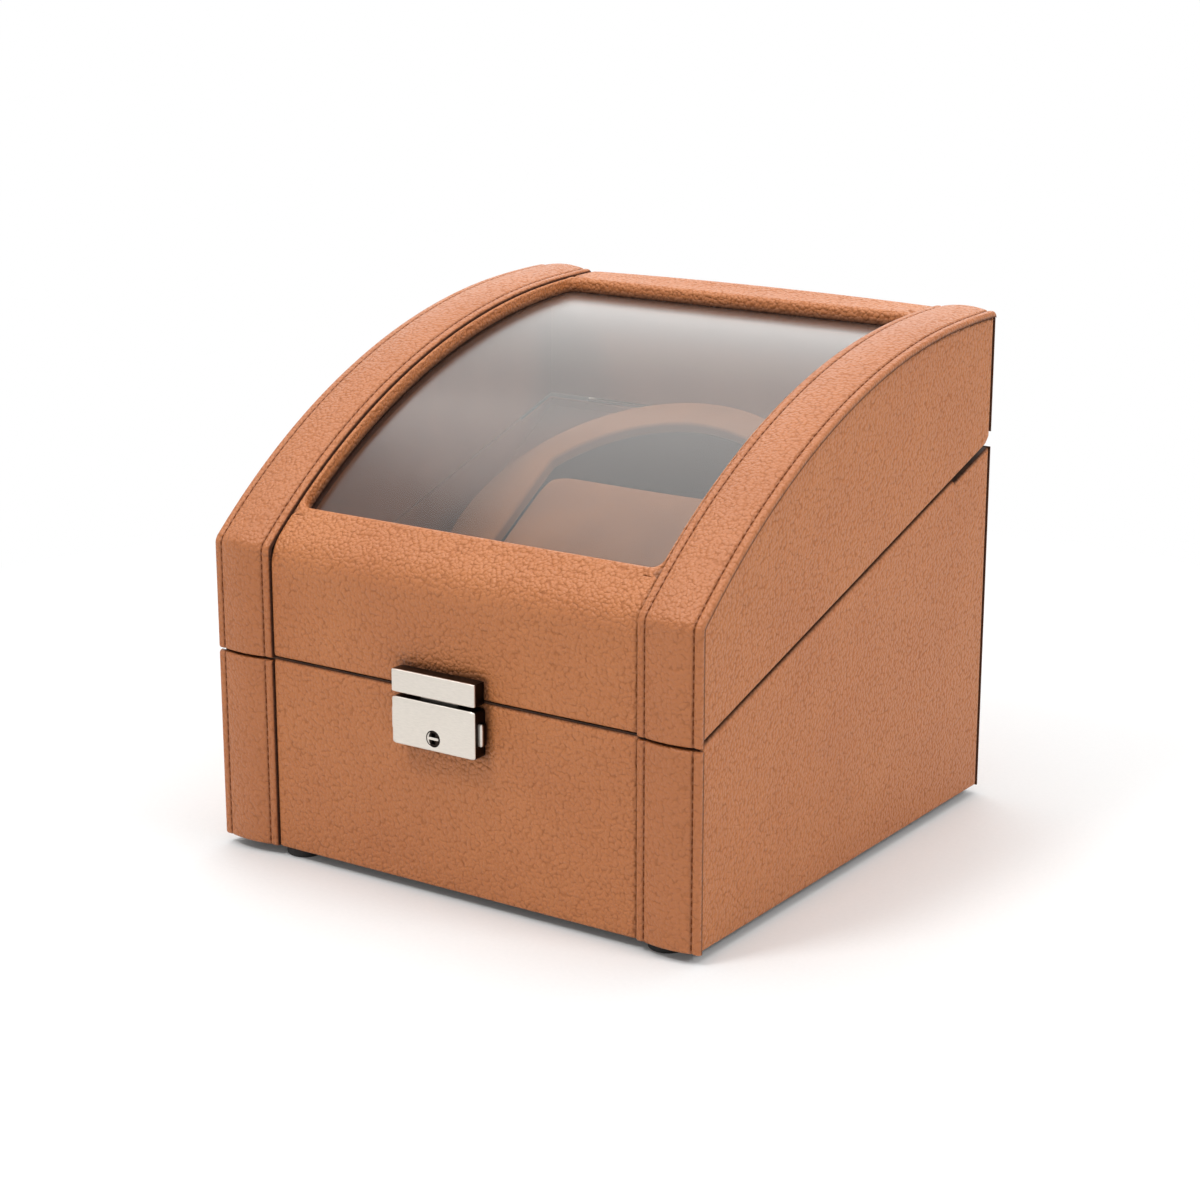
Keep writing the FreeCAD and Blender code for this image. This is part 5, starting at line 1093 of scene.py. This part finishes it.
# %% Brushed nickel
def brushed(name, dark, light, rough=0.3, strokes=(60, 2400, 2400)):
    """Plated metal: streaks along X from a stretched noise in colour, roughness and bump."""
    material, tree, shader = new_material(name)
    streaks = noise(tree, place(tree, strokes), 1.0, 3.0, 0.6)
    clouds = noise(tree, place(tree), 90.0, 2.0)
    tint = colours(tree, streaks, [(0.25, dark), (0.75, light)])
    # painted reflection: points with painted shade go over to a near-black brown
    tree.links.new(with_painted_shade(tree, tint, sRGB(34, 26, 22)), shader.inputs["Base Color"])
    tree.links.new(maths(tree, "ADD", spread(tree, streaks, 0.2, 0.8, rough - 0.05,
                                             rough + 0.08),
                         spread(tree, clouds, 0.3, 0.7, -0.03, 0.04)),
                   shader.inputs["Roughness"])
    shader.inputs["Metallic"].default_value = 1.0
    bump(tree, shader, streaks, 0.00001, 0.3)
    return material


nickel = brushed("brushed_nickel", sRGB(214, 206, 196), sRGB(226, 218, 208), 0.34,
                 (500, 2600, 2600))

# %% [markdown]
# The hasp, its tongue and the push buttons are rounded blocks. The case's face has a round
# hole with the key cylinder in it, so it's made as rings: from the hole's floor and wall over
# the flat face to the bevel and the sides, the hole and the sides painted dark as shade. A
# bar and a sickle stand bright in the cylinder, which is painted dark, and turn with it; the
# sickle is a painted highlight.

# %% Lock case, hasp and cylinder
LOCK_FACE, LEATHER = -93.5, -88.2        # y of the plates' face, and of the leather's
KEY_HEIGHT = 52.9
KEY_HOLE, KEY_RIM = 2.55, 2.65           # radii of the key's hole and of its rim
BUTTON_LOW, BUTTON_HIGH = 52.9, 59.9     # heights of the push buttons


def block(name, low, high, radius, body, count):
    """A rounded nickel block between two corners. Faces other than its front take painted
    shade, a painted dark reflection.
    """
    low, high = np.array(low, float), np.array(high, float)
    points, quads = rounded_block((high - low) / 2, radius, count)
    # painted dark reflection on all but the front
    painted_shade = np.clip((points[:, 1] - points[:, 1].min()) / radius - 0.6, 0, 1)
    return add_mesh(name, points + (low + high) / 2, quads, body, "nickel", nickel, painted_shade)


def lock_plate():
    """The case as rings round the key's hole: hole floor, wall, face, bevel and sides, and
    the painted shade of each ring, full in the hole and on the sides."""
    half_x, half_z, corner, bevel = PLATE_HALF, (CASE_HIGH - CASE_LOW) / 2, 0.9, 0.55
    centre = np.array([LOCK_X, (CASE_HIGH + CASE_LOW) / 2])
    key = np.array([LOCK_X, KEY_HEIGHT])
    turn = np.linspace(0, 2 * math.pi, 160, endpoint=False)
    circle = np.stack([np.cos(turn), np.sin(turn)], 1)
    reach = np.minimum(1 / np.maximum(np.abs(circle[:, 0]), 1e-6),
                       1 / np.maximum(np.abs(circle[:, 1]), 1e-6))
    frame_way = circle * reach[:, None]

    def outline(inset):
        """The rectangle's outline, moved in, with its corners rounded."""
        half = np.array([half_x - inset, half_z - inset])
        flat = frame_way * half
        core = np.clip(flat, -(half - corner), half - corner)
        away = flat - core
        size = np.maximum(np.linalg.norm(away, axis=1, keepdims=True), 1e-9)
        away = np.where(np.all(np.abs(away) > 1e-9, axis=1, keepdims=True),
                        away / size * corner, away)
        return centre + core + away

    start = key + KEY_RIM * circle
    # painted shade in the key's hole and on the sides
    rows = [(key + 0 * circle, LOCK_FACE + 1.6, 1),
            (key + KEY_HOLE * circle, LOCK_FACE + 1.6, 1),
            (key + KEY_HOLE * circle, LOCK_FACE + 0.12, 0.9), (start, LOCK_FACE, 0)]
    for share in (0.12, 0.3, 0.5, 0.75):
        rows.append((start + share * (outline(bevel) - start), LOCK_FACE, 0))
    for angle in np.linspace(0, math.pi / 2, 5):
        rows.append((outline(bevel * (1 - math.sin(angle))),
                     LOCK_FACE + bevel * (1 - math.cos(angle)), angle > 1.5))
    rows.append((outline(0), LEATHER + 0.02, 1))
    rows.append((centre + 0 * circle, LEATHER + 0.02, 1))
    flat = np.stack([row[0] for row in rows])
    depth, painted_shade = (np.stack([np.full(len(turn), float(row[k])) for row in rows])
                     for k in (1, 2))
    points = np.stack([flat[..., 0], depth, flat[..., 1]], -1)
    quads = grid_quads(*points.shape[:2], close_columns=True)
    return points.reshape(-1, 3), quads, painted_shade


points, quads, painted_shade = lock_plate()
case = add_mesh("lock_case_plate", points, quads, "base", "nickel", nickel, painted_shade)
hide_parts("lock_case", "lock_rivets")
hasp = block("hasp_plate", (LOCK_X - PLATE_HALF, LOCK_FACE, HASP_LOW),
             (LOCK_X + PLATE_HALF, LEATHER, HASP_HIGH), 0.5, "lid", 24)
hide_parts("hasp", "hasp_rivets")
block("hasp_tongue", (LOCK_X - 7, -90.4, 58.2), (LOCK_X + 7, -89.2, 69), 0.4, "lid", 10)
block("key_bar", (LOCK_X - 1.9, LOCK_FACE + 0.04, KEY_HEIGHT - 0.42),
      (LOCK_X + 1.9, LOCK_FACE + 0.5, KEY_HEIGHT + 0.42), 0.12, "key", 8)


def painted_key_highlight():
    """A painted highlight on the cylinder: a bright sickle on its left, between two arcs whose
    distance is widest in the middle, by a cosine, and nearly nothing at the ends."""
    turn, share = np.meshgrid(np.linspace(math.pi * 0.68, math.pi * 1.32, 25),
                              np.linspace(0, 1, 4), indexing="ij")
    wide = 0.12 + 0.5 * np.cos((turn - math.pi) / 0.64)
    radius = 2.24 - wide * (1 - share)
    x, z = LOCK_X + radius * np.cos(turn), KEY_HEIGHT + radius * np.sin(turn)
    return skin(np.stack([x, LOCK_FACE + 0.06 + 0 * x, z], -1),
                np.stack([x, LOCK_FACE + 0.5 + 0 * x, z], -1))


# painted highlight: a bright sickle on the key cylinder
add_mesh("painted_key_highlight", *painted_key_highlight(), "key", "nickel", nickel)
# each push button reaches 0.6 into its end of the case and stands 1.5 out of it
for side, sign in (("left", -1), ("right", 1)):
    ends = sorted(LOCK_X + sign * np.array([PLATE_HALF - 0.6, PLATE_HALF + 1.5]))
    button = block(f"push_button_{side}", (ends[0], -91.85, BUTTON_LOW),
                   (ends[1], -89.05, BUTTON_HIGH), 0.5, f"button_{side}", 10)
    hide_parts(f"lock_button_{side}")

# %% [markdown]
# ## Finishes of the plain pieces
#
# The boards, feet, hinges, the drum and the mechanism keep their solids. They get a material
# each, chosen by the slot that the record gives them: dark wood, rubber, plastics with a
# fine texture, and metals that differ in colour and in how rough they are.


# %% Plain finishes
def moulded(name, dark, light, rough, scale=900.0, depth=0.00005, specular=0.5):
    """Plastic, rubber or paint: a fine speckle in colour, roughness and bump."""
    material, tree, shader = new_material(name)
    speckle = noise(tree, place(tree), scale, 4.0, 0.6)
    slow = noise(tree, place(tree), 35.0, 2.0)
    both = maths(tree, "ADD", maths(tree, "MULTIPLY", speckle, 0.6),
                 maths(tree, "MULTIPLY", slow, 0.4))
    tree.links.new(colours(tree, both, [(0.35, dark), (0.65, light)]),
                   shader.inputs["Base Color"])
    tree.links.new(spread(tree, speckle, 0.3, 0.7, rough - 0.06, rough + 0.06),
                   shader.inputs["Roughness"])
    shader.inputs["Specular IOR Level"].default_value = specular
    bump(tree, shader, speckle, depth, 0.5)
    return material


def wood(name):
    """Board: growth lines from a wave bent by noise, with fine pores."""
    material, tree, shader = new_material(name)
    lines = node(tree, "TexWave", {"Vector": place(tree, (6, 60, 60)), "Scale": 3.0,
                                   "Distortion": 5.0, "Detail": 3.0}).outputs["Fac"]
    pores = noise(tree, place(tree, (200, 2400, 2400)), 1.0, 3.0)
    tint = colours(tree, lines, [(0.2, sRGB(62, 40, 27)), (0.8, sRGB(84, 56, 39))])
    tree.links.new(tint, shader.inputs["Base Color"])
    shader.inputs["Roughness"].default_value = 0.7
    bump(tree, shader, pores, 0.00006, 0.5)
    return material


board_wood = wood("board_wood")
dark_frame = suede("dark_frame_card", sRGB(58, 36, 32), sRGB(70, 45, 39))
black_rubber = moulded("black_rubber", sRGB(18, 17, 17), sRGB(34, 32, 31), 0.75)
black_plastic = moulded("black_plastic", sRGB(26, 20, 18), sRGB(42, 34, 30), 0.5)
white_nylon = moulded("white_nylon", sRGB(206, 203, 192), sRGB(224, 221, 212), 0.45)
board_green = moulded("board_green", sRGB(20, 74, 46), sRGB(34, 98, 60), 0.35, 400.0)
spring_steel = brushed("spring_steel", sRGB(150, 150, 152), sRGB(190, 190, 192), 0.28)
bush_brass = brushed("bush_brass", sRGB(176, 140, 76), sRGB(204, 168, 98), 0.3)
motor_steel = brushed("motor_steel", sRGB(158, 158, 158), sRGB(196, 196, 194), 0.34)
# painted shade: the key cylinder is coloured near-black, as shade in its hole and a dark
# reflection
nickel_painted_dark = brushed("nickel_painted_dark", sRGB(38, 31, 28), sRGB(52, 43, 38), 0.4)
screw_steel = brushed("screw_steel", sRGB(132, 132, 134), sRGB(178, 178, 180), 0.32)

by_slot = {
    "tan_leather": tan_leather, "wood_board": board_wood, "dark_suede": taupe_suede,
    "tan_suede": tan_suede, "clear_window": clear_window, "nickel": nickel,
    "spring_steel": spring_steel, "black_rubber": black_rubber,
    "black_plastic": black_plastic, "white_nylon": white_nylon, "bush_brass": bush_brass,
    "motor_steel": motor_steel, "board_green": board_green, "screw_steel": screw_steel,
}
by_node = {"window_bezel": dark_frame, "drum": dark_frame, "lock_cylinder": nickel_painted_dark}
record = frame["record"]
slot_of = {entry["node"]: entry["material_slot"] for entry in record["subparts"]}
for name, piece in nodes.items():
    piece.data.materials.clear()
    piece.data.materials.append(by_node.get(name, by_slot[slot_of[name]]))
print("finished", len(nodes), "solids")

# %% [markdown]
# ## Floor and light
#
# The box stands on a white sweep. Light is mostly large and soft: a white world all round,
# a broad lamp overhead and a broad one behind. Two small lamps, at the right and in front,
# draw the highlights. The floor takes the box's shadow near it and turns to plain white
# further away, but only where it's seen directly, so it lights the box as real paper does.


# %% Floor and lamps
def floor_sheet():
    """A floor that rises behind the box in a smooth bend, as one grid."""
    t = np.linspace(0, 1, 60)
    y = np.where(t < 0.5, -6 + 18 * t, 3 + 2.2 * np.sin((t - 0.5) * math.pi))
    z = np.where(t < 0.5, 0, 2.2 * (1 - np.cos((t - 0.5) * math.pi)))
    x = np.linspace(-8, 8, 33)
    yy, xx = np.meshgrid(y, x, indexing="ij")
    zz = np.broadcast_to(z[:, None], yy.shape)
    return np.stack([xx, yy, zz], -1).reshape(-1, 3)


def floor_paint():
    """White paper with a fine tooth. For what sees it directly it turns to plain white with
    distance from the box: the share grows evenly from 0.12 m to 0.42 m."""
    material, tree, shader = new_material("white_paper")
    here = place(tree)
    tooth = noise(tree, here, 700.0, 3.0)
    tree.links.new(colours(tree, tooth, [(0.3, (0.87, 0.88, 0.88)),
                                         (0.7, (0.89, 0.90, 0.90))]),
                   shader.inputs["Base Color"])
    shader.inputs["Roughness"].default_value = 0.9
    shader.inputs["Specular IOR Level"].default_value = 0.1
    seen = directly_seen(tree)
    away = node(tree, "VectorMath", {0: here}, operation="LENGTH").outputs["Value"]
    plain = maths(tree, "MULTIPLY", seen, spread(tree, away, 0.12, 0.42))
    white = node(tree, "Emission", {"Color": (1, 1, 1, 1), "Strength": 1.0})
    lift = node(tree, "Emission", {"Color": (1, 1, 1, 1),
                                   "Strength": maths(tree, "MULTIPLY", seen, 0.04)})
    near = node(tree, "AddShader", {0: shader.outputs["BSDF"], 1: lift.outputs["Emission"]})
    both = node(tree, "MixShader", {0: plain, 1: near.outputs["Shader"],
                                    2: white.outputs["Emission"]})
    tree.links.new(both.outputs["Shader"], tree.nodes["Material Output"].inputs["Surface"])
    return material


mesh = bpy.data.meshes.new("floor")
mesh.from_pydata(floor_sheet().tolist(), [], grid_quads(60, 33)[:, ::-1].tolist())
mesh.polygons.foreach_set("use_smooth", np.ones(len(mesh.polygons), bool))
floor = bpy.data.objects.new("floor", mesh)
bpy.context.scene.collection.objects.link(floor)
mesh.materials.append(floor_paint())


def lamp(name, spot, target, size, power):
    """A square area lamp of some size in metres and power in watts, turned to a target."""
    light = bpy.data.lights.new(name, "AREA")
    light.shape, light.size, light.energy = "SQUARE", size, power
    held = bpy.data.objects.new(name, light)
    bpy.context.scene.collection.objects.link(held)
    held.location = spot
    held.rotation_euler = (Vector(spot) - Vector(target)).to_track_quat("Z", "Y").to_euler()


lamp("overhead", (-0.1, 0.2, 1.7), (0, 0, 0.08), 2.0, 22)
lamp("right", (1.45, 0.1, 1.3), (0, 0, 0.08), 0.4, 8)
lamp("behind", (-1.15, 1.7, 1.25), (0, 0, 0.1), 1.9, 9)
lamp("front", (-0.45, -0.95, 1.6), (0, 0, 0.08), 0.4, 10)

world = bpy.data.worlds.new("studio")
bpy.context.scene.world = world
world.use_nodes = True
tree = world.node_tree
background = tree.nodes["Background"]
tree.links.new(spread(tree, directly_seen(tree), 0, 1, 0.34, 1.0),
               background.inputs["Strength"])
background.inputs["Color"].default_value = (1, 1, 1, 1)
bpy.context.scene.view_settings.view_transform = "Standard"
print("lights", len(bpy.data.lights))
